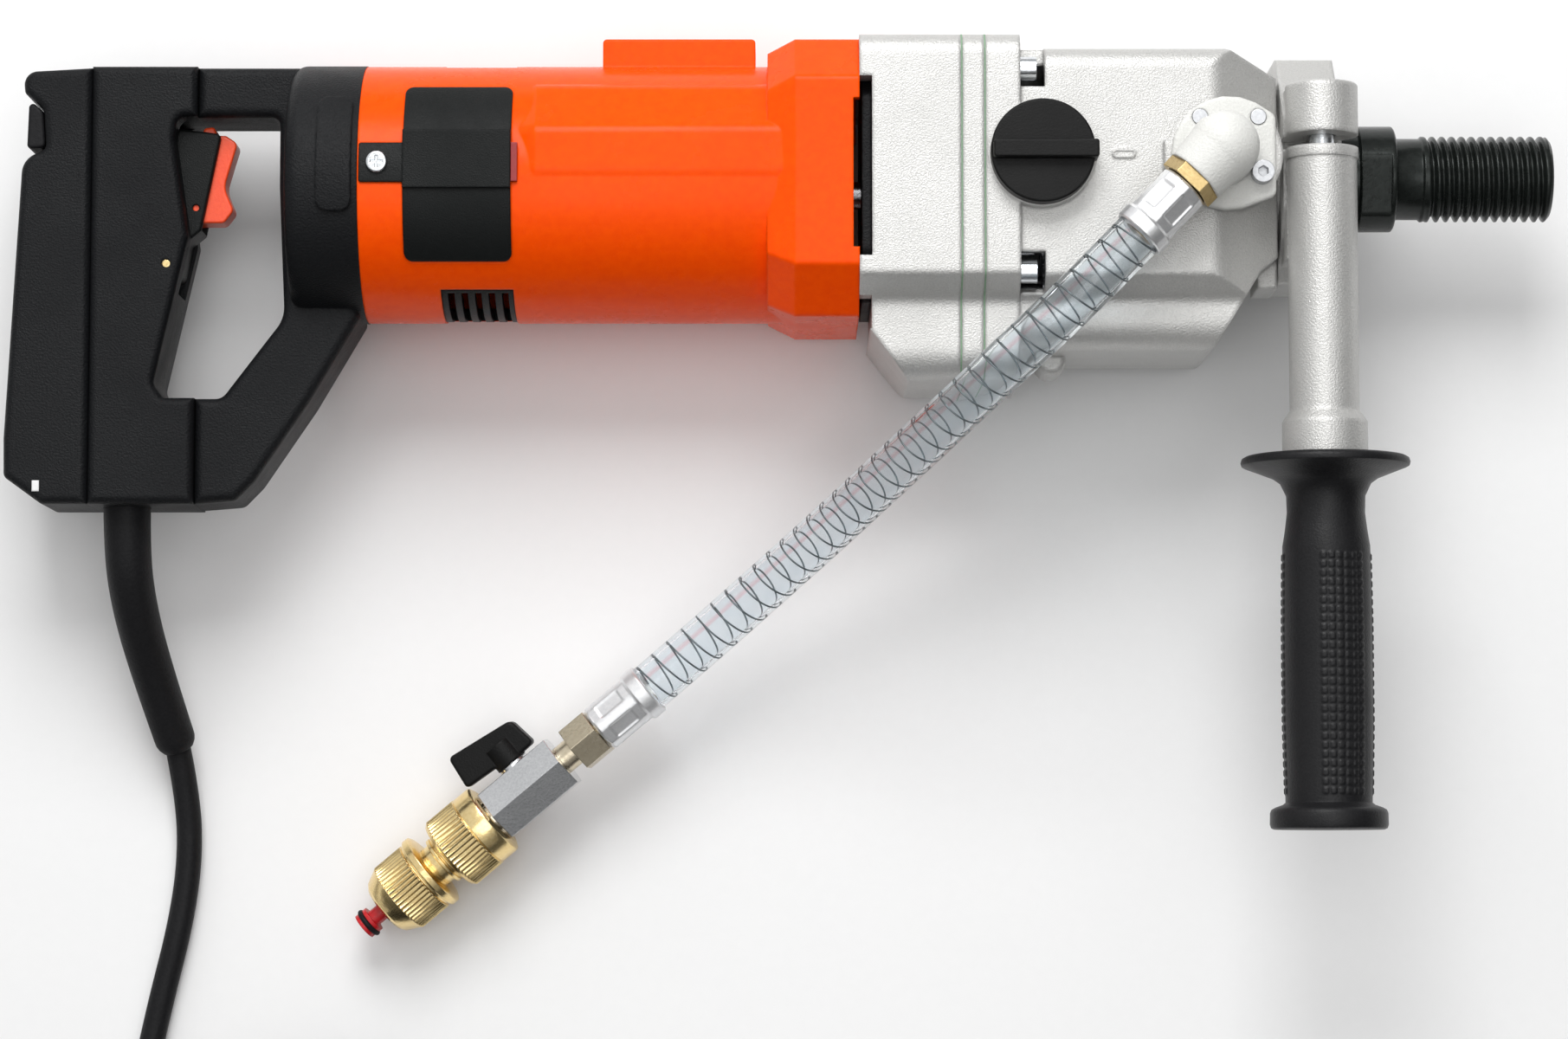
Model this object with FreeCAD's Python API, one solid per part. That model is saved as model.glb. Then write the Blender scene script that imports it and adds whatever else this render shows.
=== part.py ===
"""Hand-held wet core drill with side handle, water hose and mains lead.

Millimetres. The drill lies on its flank. +X runs along the spindle towards its nose, +Z is up and
the origin is on the spindle's axis at the shoulder that a core bit seats on.
"""
import FreeCAD, Part
import math
import os

V = FreeCAD.Vector

# ---- motor: its radius sets the girth of the whole drill ------------------------------------------
MOTOR_R = 47.3
MOTOR_Y = -6.0           # the motor lies this far from the spindle's axis
MOTOR_WALL = 3.2
MOTOR_REAR = -377.7
FLANGE_START = -220.5    # square front flange of the motor housing
FLANGE_TOP = MOTOR_Y + MOTOR_R + 4.8
FLANGE_BOTTOM = MOTOR_Y - MOTOR_R - 2.1
FLANGE_CHAMFER = 17.0
FLANGE_WALL = 5.0
SADDLE_RISE = 0.9        # height of the flank panel above the barrel
SADDLE_X = (-320.0, -314.0)  # foot and top of the slope at its rear end
FLARE = 10.0             # length of the slope that leads up to the square flange
NOTCH = 2.2              # depth of the air notch in the flange's edge
NOTCH_Y = (-32.5, 21.5)
ARMATURE_R = 24.0
AIR_GAP = 0.8
STATOR_FIT = 0.2
CORE_X = (-300.0, -244.0)
COMMUTATOR_R = 16.0
COMMUTATOR_X = (-354.0, -330.0)
BRUSH_X = -342.0
BRUSH = (12.4, 6.4)      # along the shaft and across
FAN_X = (-236.0, -222.0)
FAN_R = 39.0
MOTOR_SHAFT_R = 5.0
COVER_X = (-361.3, -322.6)   # brush cover
COVER_Y = (-36.0, 28.2)
TAB_X = -377.1           # end of the cover's screw tab
TAB_Y = (-8.8, 5.6)
COVER_RISE = 0.9
COVER_SCREW = (-370.6, -1.6)
COVER_SCREW_R = 1.98
VENT_X = (-349.0, -322.6)
VENT_SLOT = 2.4
VENT_PITCH = 4.9
LEVEL_X = (-291.0, -235.0)
LEVEL_TOP = MOTOR_Y + MOTOR_R + 8.6
LEVEL_HALF = 13.0
VIAL_R = 5.0
VIAL_END = 8.0           # level block beyond each end of its vial

# ---- gear case -----------------------------------------------------------------------------------
CASE_HALF = MOTOR_R + 2.7    # half width
CASE_TOP = FLANGE_TOP - 0.3
TUB_HALF = CASE_HALF - 12.0  # half width of the lower tub
TUB_TOP = -42.0
TUB_BOTTOM = -78.2
CASE_REAR = -197.4
REAR_JOINT = -161.0      # rear case to middle plate
FRONT_JOINT = -152.7     # middle plate to front case
GASKET = 0.6
FRONT_FLANGE = 12.4      # thickness of the front case's flange
NOSE_TOP = CASE_TOP - 4.5
NOSE_BOTTOM = -67.3
NOSE_HALF = CASE_HALF - 4.0
NOSE_SHOULDER = -69.0    # where the nose starts to taper
NOSE_TIP_HALF = 31.0
CASE_WALL = 5.0
BULKHEAD_X = -192.8      # rear wall of the gear case
BULKHEAD = 5.0
SEAT_END = -184.0        # inner face of the bulkhead's bearing bosses
FLOOR_Z = -CASE_HALF     # the surface that the drill lies on

# ---- spindle -------------------------------------------------------------------------------------
SPINDLE_R = 15.875       # 1 1/4 in - 7 UNC outside thread
SPINDLE_END = 57.6       # shoulder to tip
COLLAR_R = 19.5          # shoulder collar
COLLAR_LENGTH = 20.0
COLLAR_FLATS = 32.0      # across the two wrench flats
FLATS_TURN = 16.0        # the spindle stands turned by this much, degrees
SHAFT_R = 12.5           # spindle inside the case
TAIL_SHAFT_R = 10.0      # spindle in its rear bearing
WATER_BORE_R = 5.0
SOCKET_R = 9.3           # G 1/2 inside thread, core diameter
SOCKET_DEPTH = 20.0
NECK_R = 30.0            # 60 mm clamping neck
NECK_END = -22.0
NECK_START = -48.0

# ---- bearings: outer radius, and the ends of each seat -------------------------------------------
NOSE_BEARING_R = SHAFT_R + 13.5
NOSE_BEARING = (-44.0, -29.5)
TAIL_BEARING_R = TAIL_SHAFT_R + 13.5
TAIL_BEARING = (-156.0, -145.5)
BULKHEAD_BEARING = (-191.0, SEAT_END)
MOTOR_BEARING_R = MOTOR_SHAFT_R + 8.0
COUNTER_R = 6.0
COUNTER_BEARING_R = COUNTER_R + 5.0
COUNTER_FRONT = (-79.0, -71.0)
BRIDGE_BEARING_R = MOTOR_SHAFT_R + 6.0
BRIDGE_BEARING = (-373.0, -366.0)
SEAT_WALL = 3.5          # metal round a bearing
PASS = 2.0               # a shaft through a wall

# ---- gear train ----------------------------------------------------------------------------------
FIRST_MODULE = 1.0       # motor pinion and countershaft wheel
PINION_TEETH = 12
WHEEL_TEETH = 60
WHEEL_WIDTH = 8.0
OUTPUT_MODULE = 1.5      # countershaft block and spindle gears
BLOCK_TEETH = (20, 14, 24)
BULL_TEETH = (36, 42, 32)
BULL_X = (-139.0, -113.0, -87.0)
BLOCK_X = (-130.0, -113.0, -96.0)
GEAR_WIDTH = 7.0
HUB_R = SHAFT_R + 7.5
BLOCK_HUB_R = COUNTER_R + 2.25
COUNTER_Y = MOTOR_Y - FIRST_MODULE * (PINION_TEETH + WHEEL_TEETH) / 2
WHEEL_X = -175.0

# ---- selector knob -------------------------------------------------------------------------------
KNOB_X = -132.0
KNOB_Y = 1.2
KNOB_R = 18.7
KNOB_PAD = CASE_HALF + 0.4   # top of the pad that the knob turns on
KNOB_THICK = 6.7
KNOB_BAR = 5.0           # height of its finger bar
KNOB_SHAFT_R = 5.15

# ---- D handle ------------------------------------------------------------------------------------
RING_REAR = -404.5
RING_STEP = 0.2          # ring radius over the motor's
GRIP_HALF = 20.0         # half thickness of the grip
BRIDGE_DROP = 2.4        # the grip's bridge lies this far below the motor's top
BRIDGE_TOP = MOTOR_Y + MOTOR_R - BRIDGE_DROP
GRIP_REAR = -508.3       # furthest point of the grip's back
BRIDGE_BOTTOM = 20.5
HANDLE_BOTTOM = -122.0
SEAM_REAR = -477.6
SEAM_FRONT = -439.2
PADDLE_HALF = 9.0
TRIGGER_HALF = 6.0
PADDLE_PIVOT = (-449.7, -34.1)
PADDLE_PIN_R = 1.5
TRIGGER_PIVOT = (-440.5, -12.0)
TRIGGER_PIN_R = 1.2
SWITCH_X = (-474.8, -462.5)
SWITCH_HALF = GRIP_HALF - 6.1
INDICATOR_X = (-388.8, -379.8)
INDICATOR_HALF = 3.0

# ---- side handle ---------------------------------------------------------------------------------
CLAMP_X = (-44.7, -23.8)
CLAMP_WALL = 11.5
CLAMP_R = NECK_R + CLAMP_WALL
ARM_X = -31.0
ARM_R = 12.5
ARM_Z = CLAMP_R + 1.5
LUG_R = ARM_R + 0.5
LUG_Y = (8.7, 27.3)
SLIT = 4.8
ARM_END = -107.2
ARM_FOOT_R = ARM_R + 2.8
GRIP_END = -240.3
GRIP_R = 16.0
GRIP_FLANGE_R = 30.2
TIE_ROD_R = 4.5
TIE_ROD_END = -140.0

# ---- water feed ----------------------------------------------------------------------------------
WATER_X = -65.5
WATER_Y = 0.8
WATER_FLANGE_R = 20.5
WATER_PAD_TOP = CASE_HALF + 0.5
WATER_FLANGE = 4.0
WATER_CHANNEL_R = 4.5
SMALL_SCREW_R = 1.98
SUNK_HEAD_R = 2.8
CAP_HEAD_R = 4.1
HOSE_R = 9.0
HOSE_Z = WATER_PAD_TOP + 15.5
ELBOW_R = HOSE_R + 3.6
FEED_TURN = 226.0        # direction of the elbow, degrees from +X
FITTING_START = 15.0     # from the elbow's centre along the feed
FITTING_HEX = 4.8
UPPER_FERRULE_AT = FITTING_START + FITTING_HEX + 0.3
FERRULE = 24.0
FERRULE_MOUTH = 5.0      # round end of a ferrule
BARB_R = 5.6

# ---- valve and coupling, measured along the hose's tail ------------------------------------------
VALVE_FLATS = 20.0
VALVE_ROLL = -13.36      # roll of the valve's hexagon that turns one flat to the lever, degrees
NUT_FLATS = 17.0
LEVER_FOOT = VALVE_FLATS / 2 + 1.4
VALVE_START = FERRULE + 18.0
VALVE_LENGTH = 32.0
STEM_AT = VALVE_START + 15.0
STEM_R = 3.0
KEY_R = STEM_R - 0.5
KEY_LENGTH = 4.6
VALVE_TAIL_R = 7.5
BALL_R = 6.5
COUPLING = VALVE_START + VALVE_LENGTH + 1.0
COUPLING_NECK_R = 8.0
COUPLING_R = 14.8
COLLAR_START = COUPLING + 29.0
COLLAR_TRAVEL = 3.0
STOP_START = COUPLING + 40.0
STOP_RING_R = 0.95
RING_GROOVE = STOP_START + 20.4

# ---- mains lead ----------------------------------------------------------------------------------
CORD_R = 4.75
SLEEVE_R = 8.8
COIL_LAYERS = 4
COIL_TURNS = 4           # turns side by side in a layer
COIL_MID_R = 54.0        # to the middle of the turns
COIL_WIDTH = 2 * CORD_R * COIL_TURNS
COIL_HEIGHT = 2 * CORD_R * COIL_LAYERS
COIL_CENTRE = (-397.5, -400.0)
PLUG_R = 18.5

# ---- clearances ----------------------------------------------------------------------------------
RUN_FIT = 0.05           # a shaft in its bearing
PRESS = 0.02             # a pressed or screwed piece, left this much smaller than its hole
GAP = 0.3                # covers, knobs and buttons


# ---- shape helpers -------------------------------------------------------------------------------
def block(x0, x1, y0, y1, z0, z1):
    return Part.makeBox(x1 - x0, y1 - y0, z1 - z0, V(x0, y0, z0))


def rod_x(r, x0, x1, y=0.0, z=0.0):
    return Part.makeCylinder(r, x1 - x0, V(x0, y, z), V(1, 0, 0))


def rod_y(r, y0, y1, x, z):
    return Part.makeCylinder(r, y1 - y0, V(x, y0, z), V(0, 1, 0))


def rod_z(r, z0, z1, x, y):
    return Part.makeCylinder(r, z1 - z0, V(x, y, z0), V(0, 0, 1))


def ring_x(r, hole, x0, x1, y=0.0, z=0.0):
    return rod_x(r, x0, x1, y, z).cut(rod_x(hole, x0 - 1, x1 + 1, y, z))


def rounded_wire(corners, place):
    """Closed wire through corners (u, v, radius), each rounded by its radius."""
    count = len(corners)
    edges = []
    joints = []
    for i in range(count):
        u, v, r = corners[i]
        here = V(u, v, 0)
        back = V(corners[i - 1][0], corners[i - 1][1], 0).sub(here).normalize()
        ahead = V(corners[(i + 1) % count][0], corners[(i + 1) % count][1], 0).sub(here).normalize()
        half = back.getAngle(ahead) / 2
        reach = r / math.tan(half)
        bisector = back.add(ahead).normalize()
        first = here + back * reach
        last = here + ahead * reach
        middle = here + bisector * (r / math.sin(half) - r)
        joints.append((first, last))
        if r > 0:
            edges.append(Part.Arc(place(first), place(middle), place(last)).toShape())
    for i in range(count):
        start = joints[i][1]
        end = joints[(i + 1) % count][0]
        if start.distanceToPoint(end) > 1e-6:
            edges.append(Part.makeLine(place(start), place(end)))
    return Part.Wire(Part.__sortEdges__(edges))


def plate_z(corners, z0, z1):
    """Corners (x, y, radius) carried along Z."""
    wire = rounded_wire(corners, lambda p: V(p.x, p.y, z0))
    return Part.Face(wire).extrude(V(0, 0, z1 - z0))


def plate_x(corners, x0, x1):
    """Corners (y, z, radius) carried along X."""
    wire = rounded_wire(corners, lambda p: V(x0, p.x, p.y))
    return Part.Face(wire).extrude(V(x1 - x0, 0, 0))


def plate_y(corners, y0, y1):
    """Corners (x, z, radius) carried along Y."""
    wire = rounded_wire(corners, lambda p: V(p.x, y0, p.y))
    return Part.Face(wire).extrude(V(0, y1 - y0, 0))


def soften(shape, radius, test):
    """Fillet the edges whose every end and middle pass the test."""
    def passes(edge):
        middle = edge.valueAt((edge.FirstParameter + edge.LastParameter) / 2)
        return test(middle) and all(test(v.Point) for v in edge.Vertexes)
    return shape.makeFillet(radius, [e for e in shape.Edges if passes(e)])


def soft_plate_z(corners, half, radius):
    """A plate about z = 0 with both rims rounded."""
    return soften(plate_z(corners, -half, half), radius, lambda p: abs(abs(p.z) - half) < 1e-4)


def fuse(shapes):
    """One solid from pieces that overlap."""
    return shapes[0].multiFuse(shapes[1:]).removeSplitter()


def mirror_z(shape):
    return shape.mirror(V(0, 0, 0), V(0, 0, 1))


def along(shape, start, direction):
    """Carry a shape made along +X from the origin to a start point and a direction."""
    turn = FreeCAD.Rotation(V(1, 0, 0), direction)
    moved = shape.copy()
    moved.Placement = FreeCAD.Placement(start, turn).multiply(moved.Placement)
    return moved


def turned(profile):
    """Solid of revolution about X from (x, radius) pairs."""
    points = [V(profile[0][0], 0, 0)]
    points += [V(x, r, 0) for x, r in profile]
    points.append(V(profile[-1][0], 0, 0))
    face = Part.Face(Part.makePolygon(points + [points[0]]))
    return face.revolve(V(0, 0, 0), V(1, 0, 0), 360)


def hexagon(flats, x0, x1, turn=0.0):
    """Hexagonal bar along X, rolled by turn degrees from a corner at +Y."""
    r = flats / math.sqrt(3)
    angles = [math.radians(60 * i + turn) for i in range(6)]
    corners = [(r * math.cos(a), r * math.sin(a), 0) for a in angles]
    return plate_x(corners, x0, x1)


def route_tube(points, radius, name):
    """Tube along straight runs joined by the largest tangent arcs; prints its radii and volume."""
    edges = []
    radii = []
    start = points[0]
    length = 0.0
    for i in range(1, len(points) - 1):
        back = points[i - 1].sub(points[i])
        ahead = points[i + 1].sub(points[i])
        shorter = min(back.Length, ahead.Length)
        turn = math.pi - back.getAngle(ahead)
        bend = 0.45 * shorter / math.tan(turn / 2)
        back.normalize()
        ahead.normalize()
        first = points[i] + back * (0.45 * shorter)
        last = points[i] + ahead * (0.45 * shorter)
        bisector = (back + ahead).normalize()
        middle = points[i] + bisector * (bend / math.cos(turn / 2) - bend)
        edges.append(Part.LineSegment(start, first).toShape())
        edges.append(Part.Arc(first, middle, last).toShape())
        length += start.distanceToPoint(first) + bend * turn
        radii.append(round(bend, 1))
        start = last
    edges.append(Part.LineSegment(start, points[-1]).toShape())
    length += start.distanceToPoint(points[-1])
    path = Part.Wire(edges)
    circle = Part.Wire(Part.makeCircle(radius, points[0], points[1].sub(points[0])))
    tube = path.makePipeShell([circle], True, False)
    expected = math.pi * radius ** 2 * length
    print(name, "length", round(length, 1), "radii", radii, "volume ratio", round(tube.Volume / expected, 4))
    return tube


def gear(teeth, module, x0, width, y, bore, tooth_at):
    """Spur gear with slim straight-flanked teeth; tooth_at is the angle of one tooth's middle."""
    pitch_r = module * teeth / 2
    tip = pitch_r + 0.85 * module
    root = pitch_r - 1.15 * module
    step = 2 * math.pi / teeth
    foot_half = 0.27 * math.pi * module / root
    tip_half = 0.10 * math.pi * module / tip
    points = []
    for i in range(teeth):
        middle = tooth_at + i * step
        for r, a in ((root, -foot_half), (tip, -tip_half), (tip, tip_half), (root, foot_half)):
            points.append(V(x0, y + r * math.cos(middle + a), r * math.sin(middle + a)))
    body = Part.Face(Part.makePolygon(points + [points[0]])).extrude(V(width, 0, 0))
    return body.cut(rod_x(bore, x0 - 1, x0 + width + 1, y)) if bore else body


# ---- gear case -----------------------------------------------------------------------------------
def case_section(inset, top, bottom, half, tub):
    """Corners of the case's cross-section, brought in by inset."""
    side = half - inset
    low = tub - inset
    right = [(top - inset, side, 8), (TUB_TOP, side, 3), (TUB_TOP - 8, low, 5), (bottom + inset, low, 11)]
    left = [(y, -z, r) for y, z, r in reversed(right)]
    return right + left


FULL_SECTION = (CASE_TOP, TUB_BOTTOM, CASE_HALF, TUB_HALF)
SCREW_Y = (CASE_TOP - 12.6, TUB_TOP + 1.4)
SCREW_Z = CASE_HALF - 7.0
SCREW_SPOTS = [(y, z) for z in (SCREW_Z, -SCREW_Z) for y in SCREW_Y]
SCREW_R = 2.5
SCREW_HEAD_R = 4.25
SCREW_HEAD = 6.0
SCREW_TIP = -178.0
SCREW_POCKET = 9.0
FLANGE_FACE = FRONT_JOINT + GASKET + FRONT_FLANGE
CHAMBER_END = -79.5      # front wall of the gear chamber


def cut_screw_holes(shape, x0, x1):
    for y, z in SCREW_SPOTS:
        shape = shape.cut(rod_x(SCREW_R + GAP / 2, x0, x1, y, z))
    return shape


def gear_case_rear():
    body = plate_x(case_section(0, *FULL_SECTION), CASE_REAR, REAR_JOINT)
    side = plate_z([(CASE_REAR, CASE_TOP + 1, 0), (REAR_JOINT, CASE_TOP + 1, 0),
                    (REAR_JOINT, TUB_BOTTOM - 1, 0), (-179.1, TUB_BOTTOM - 1, 4), (-194.7, -58.9, 2),
                    (CASE_REAR, FLANGE_BOTTOM, 0)], -60, 60)
    body = body.common(side)
    inner = case_section(CASE_WALL, *FULL_SECTION)
    chamber = plate_x(inner, BULKHEAD_X + BULKHEAD, REAR_JOINT + 1)
    slope = plate_z([(-250, 60, 0), (REAR_JOINT + 2, 60, 0), (REAR_JOINT + 2, -73, 0), (-177, -73, 0),
                     (-191, -56, 0), (-250, -56, 0)], -60, 60)
    skirt = plate_x(octagon(GAP - FLANGE_WALL - 0.8), CASE_REAR - 1, BULKHEAD_X)
    body = body.cut(chamber.common(slope)).cut(skirt)
    motor_boss = rod_x(MOTOR_BEARING_R + SEAT_WALL, BULKHEAD_X, SEAT_END, MOTOR_Y)
    counter_boss = rod_x(COUNTER_BEARING_R + SEAT_WALL - 0.5, BULKHEAD_X, SEAT_END, COUNTER_Y)
    body = fuse([body, motor_boss, counter_boss])
    body = body.cut(rod_x(MOTOR_BEARING_R, BULKHEAD_BEARING[0], SEAT_END + 1, MOTOR_Y))
    body = body.cut(rod_x(MOTOR_SHAFT_R + PASS, CASE_REAR - 1, SEAT_END + 1, MOTOR_Y))
    body = body.cut(rod_x(COUNTER_BEARING_R, BULKHEAD_BEARING[0], SEAT_END + 1, COUNTER_Y))
    windows = [block(CASE_REAR - 1, BULKHEAD_X - 0.1, -35.5, 29.5, CASE_HALF - 20, CASE_HALF + 10),
               block(CASE_REAR - 1, BULKHEAD_X - 0.1, FLANGE_BOTTOM - 5, -48.5, 0, CASE_HALF + 10)]
    for window in windows:
        body = body.cut(window).cut(mirror_z(window))
    for y, z in SCREW_SPOTS:
        body = body.cut(rod_x(SCREW_R, SCREW_TIP - 2, REAR_JOINT + 1, y, z))
    return body


def gasket(x0):
    sheet = plate_x(case_section(0, *FULL_SECTION), x0, x0 + GASKET)
    sheet = sheet.cut(plate_x(case_section(CASE_WALL + 1.5, *FULL_SECTION), x0 - 1, x0 + 2))
    return cut_screw_holes(sheet, x0 - 1, x0 + 2)


def middle_plate():
    x0 = REAR_JOINT + GASKET
    body = plate_x(case_section(0, *FULL_SECTION), x0, FRONT_JOINT)
    body = fuse([body, rod_x(TAIL_BEARING_R + SEAT_WALL, x0, TAIL_BEARING[1] + 0.5)])
    body = body.cut(rod_x(TAIL_BEARING_R, TAIL_BEARING[0], TAIL_BEARING[1] + 1.5))
    body = body.cut(rod_x(COUNTER_R + PASS, x0 - 1, FRONT_JOINT + 1, COUNTER_Y))
    return cut_screw_holes(body, x0 - 1, FRONT_JOINT + 1)


def gear_case_front():
    x0 = FRONT_JOINT + GASKET
    flange = plate_x(case_section(0, *FULL_SECTION), x0, FLANGE_FACE)
    section = (NOSE_TOP, NOSE_BOTTOM, NOSE_HALF, TUB_HALF - 1)
    body = plate_x(case_section(0, *section), x0, NECK_START + 2)
    side = [(x0, 60, 0), (x0, -90, 0), (x0 + 1, NOSE_BOTTOM, 0), (-69.4, NOSE_BOTTOM, 7),
            (-51.9, -38.3, 4), (NECK_START + 3, -33, 0), (NECK_START + 3, NOSE_TIP_HALF, 0),
            (-66, NOSE_TOP, 8), (-90, 60, 0)]
    plan = [(x0 - 1, NOSE_HALF, 0), (NOSE_SHOULDER, NOSE_HALF, 10), (NECK_START + 3, NOSE_TIP_HALF, 0),
            (NECK_START + 3, -NOSE_TIP_HALF, 0), (NOSE_SHOULDER, -NOSE_HALF, 10), (x0 - 1, -NOSE_HALF, 0)]
    body = body.common(plate_z(side, -60, 60)).common(plate_y(plan, -90, 60))
    neck = rod_x(NECK_R, NECK_START - 2, NECK_END)
    knob_pad = rod_z(KNOB_R + 0.6, NOSE_HALF - 16, KNOB_PAD, KNOB_X, KNOB_Y)
    water_pad = rod_z(WATER_FLANGE_R - 0.8, NOSE_HALF - 26, WATER_PAD_TOP, WATER_X, WATER_Y)
    oil_boss = soften(rod_z(5.5, -12, 12, -126.8, -68.5), 2.5, lambda p: abs(abs(p.z) - 12) < 1e-4)
    ear = block(WATER_X - 22.8, WATER_X - 15.0, -4.8, 6.1, NOSE_HALF - 16, WATER_PAD_TOP)
    stop = block(-52.0, NECK_START + 3, -CLAMP_R - 2, -NECK_R, -6.0, 20.0)
    body = fuse([flange, body, neck, knob_pad, water_pad, oil_boss, ear, stop, index_mark()])
    chamber = plate_x(case_section(CASE_WALL, *section), x0 - 1, CHAMBER_END)
    body = body.cut(chamber)
    body = body.cut(rod_x(SHAFT_R + PASS, CHAMBER_END - 20, NECK_END + 1))
    body = body.cut(rod_x(NOSE_BEARING_R, NOSE_BEARING[0], NECK_END + 1))
    body = body.cut(rod_x(COUNTER_BEARING_R, COUNTER_FRONT[0] - 1, COUNTER_FRONT[1], COUNTER_Y))
    body = body.cut(rod_z(WATER_CHANNEL_R, 10, WATER_PAD_TOP + 10, WATER_X, WATER_Y))
    body = body.cut(rod_z(KNOB_SHAFT_R + RUN_FIT, NOSE_HALF - 16, KNOB_PAD + 10, KNOB_X, KNOB_Y))
    for y, z in SCREW_SPOTS:
        side = 1 if z > 0 else -1
        edges = sorted([side * (SCREW_Z - 6.5), side * (SCREW_Z + 17)])
        high = y + 7 if y < 0 else y + 20
        body = body.cut(block(FLANGE_FACE, FLANGE_FACE + SCREW_POCKET, y - 7, high, *edges))
        body = body.cut(rod_x(SCREW_R + GAP / 2, x0 - 1, FLANGE_FACE + 1, y, z))
    for spot in WATER_SCREWS:
        hole = rod_z(SMALL_SCREW_R + PRESS, WATER_PAD_TOP - 9, WATER_PAD_TOP + 5, *spot)
        body = body.cut(hole)
    return body


def index_mark():
    """Raised slot-shaped mark beside the selector knob."""
    outer = plate_z([(-106.7, 3.4, 1.59), (-106.7, 0.2, 1.59), (-98.3, 0.2, 1.59), (-98.3, 3.4, 1.59)],
                    NOSE_HALF, NOSE_HALF + 0.8)
    inner = plate_z([(-106.0, 2.7, 0.89), (-106.0, 0.9, 0.89), (-99.0, 0.9, 0.89), (-99.0, 2.7, 0.89)],
                    NOSE_HALF + 0.3, NOSE_HALF + 2)
    return outer.cut(inner)


def case_screws():
    solids = []
    for y, z in SCREW_SPOTS:
        shank = rod_x(SCREW_R - PRESS, SCREW_TIP, FLANGE_FACE, y, z)
        head = rod_x(SCREW_HEAD_R, FLANGE_FACE, FLANGE_FACE + SCREW_HEAD, y, z)
        socket = hexagon(4.0, FLANGE_FACE + SCREW_HEAD / 2, FLANGE_FACE + SCREW_POCKET)
        socket.translate(V(0, y, z))
        solids.append(fuse([shank, head]).cut(socket))
    return Part.makeCompound(solids)


def air_baffle():
    """Dark plate behind the air outlets, with holes for the motor shaft and its bearing boss."""
    plate = plate_x(octagon(-FLANGE_WALL - 0.8), CASE_REAR + 1.0, BULKHEAD_X - GAP)
    return plate.cut(rod_x(MOTOR_BEARING_R + 3, CASE_REAR - 1, BULKHEAD_X + 1, MOTOR_Y))


# ---- shafts, gears and bearings ------------------------------------------------------------------
def spindle():
    rear = TAIL_BEARING[0]
    step = TAIL_BEARING[1] + 1.0
    body = turned([(rear, TAIL_SHAFT_R), (step, TAIL_SHAFT_R), (step, SHAFT_R),
                   (-COLLAR_LENGTH - 0.5, SHAFT_R), (-COLLAR_LENGTH - 0.5, COLLAR_R - 1.1),
                   (-14.0, COLLAR_R - 1.1), (-14.0, COLLAR_R - 1), (-13.0, COLLAR_R),
                   (-1.0, COLLAR_R), (0.0, COLLAR_R - 1), (0.0, SPINDLE_R), (SPINDLE_END - 1.6, SPINDLE_R),
                   (SPINDLE_END, SPINDLE_R - 1.6)])
    for side in (0, 180):
        chip = block(-13.0, -2.0, -30, 30, COLLAR_FLATS / 2, COLLAR_R + 1)
        body = body.cut(chip.rotate(V(0, 0, 0), V(1, 0, 0), FLATS_TURN + side))
    body = body.cut(rod_x(SOCKET_R, SPINDLE_END - SOCKET_DEPTH, SPINDLE_END + 1))
    body = body.cut(rod_x(WATER_BORE_R, WATER_X - 5, SPINDLE_END))
    return body.cut(rod_z(2.5, -30, 30, WATER_X, 0))


def spindle_gears():
    """Three output gears on one hub, keyed to the spindle."""
    pieces = [rod_x(HUB_R, BULL_X[0], BULL_X[2] + GEAR_WIDTH)]
    for teeth, x0 in zip(BULL_TEETH, BULL_X):
        pieces.append(gear(teeth, OUTPUT_MODULE, x0, GEAR_WIDTH, 0, 0, math.pi))
    return fuse(pieces).cut(rod_x(SHAFT_R, -200, 0))


def block_gears():
    """Sliding block of three pinions on the countershaft, standing in first gear."""
    pieces = [rod_x(BLOCK_HUB_R, BLOCK_X[0], BLOCK_X[2] + GEAR_WIDTH, COUNTER_Y)]
    for teeth, x0 in zip(BLOCK_TEETH, BLOCK_X):
        pieces.append(gear(teeth, OUTPUT_MODULE, x0, GEAR_WIDTH, COUNTER_Y, 0, math.pi / teeth))
    return fuse(pieces).cut(rod_x(COUNTER_R, -200, 0, COUNTER_Y))


def counter_wheel():
    body = gear(WHEEL_TEETH, FIRST_MODULE, WHEEL_X, WHEEL_WIDTH, COUNTER_Y, 0, math.pi / WHEEL_TEETH)
    hub = rod_x(COUNTER_R + 5, WHEEL_X + WHEEL_WIDTH, WHEEL_X + WHEEL_WIDTH + 5, COUNTER_Y)
    return fuse([body, hub]).cut(rod_x(COUNTER_R, -200, 0, COUNTER_Y))


def countershaft():
    return rod_x(COUNTER_R, BULKHEAD_BEARING[0] + 0.5, COUNTER_FRONT[1] - 0.5, COUNTER_Y)


def armature_shaft():
    shaft = rod_x(MOTOR_SHAFT_R, BRIDGE_BEARING[0] + 1, SEAT_END + 2, MOTOR_Y)
    nose = rod_x(MOTOR_SHAFT_R - 1.5, SEAT_END + 1, WHEEL_X + 10, MOTOR_Y)
    pinion = gear(PINION_TEETH, FIRST_MODULE, WHEEL_X - 1, 10.0, MOTOR_Y, 0, math.pi)
    return fuse([shaft, nose, pinion])


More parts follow.
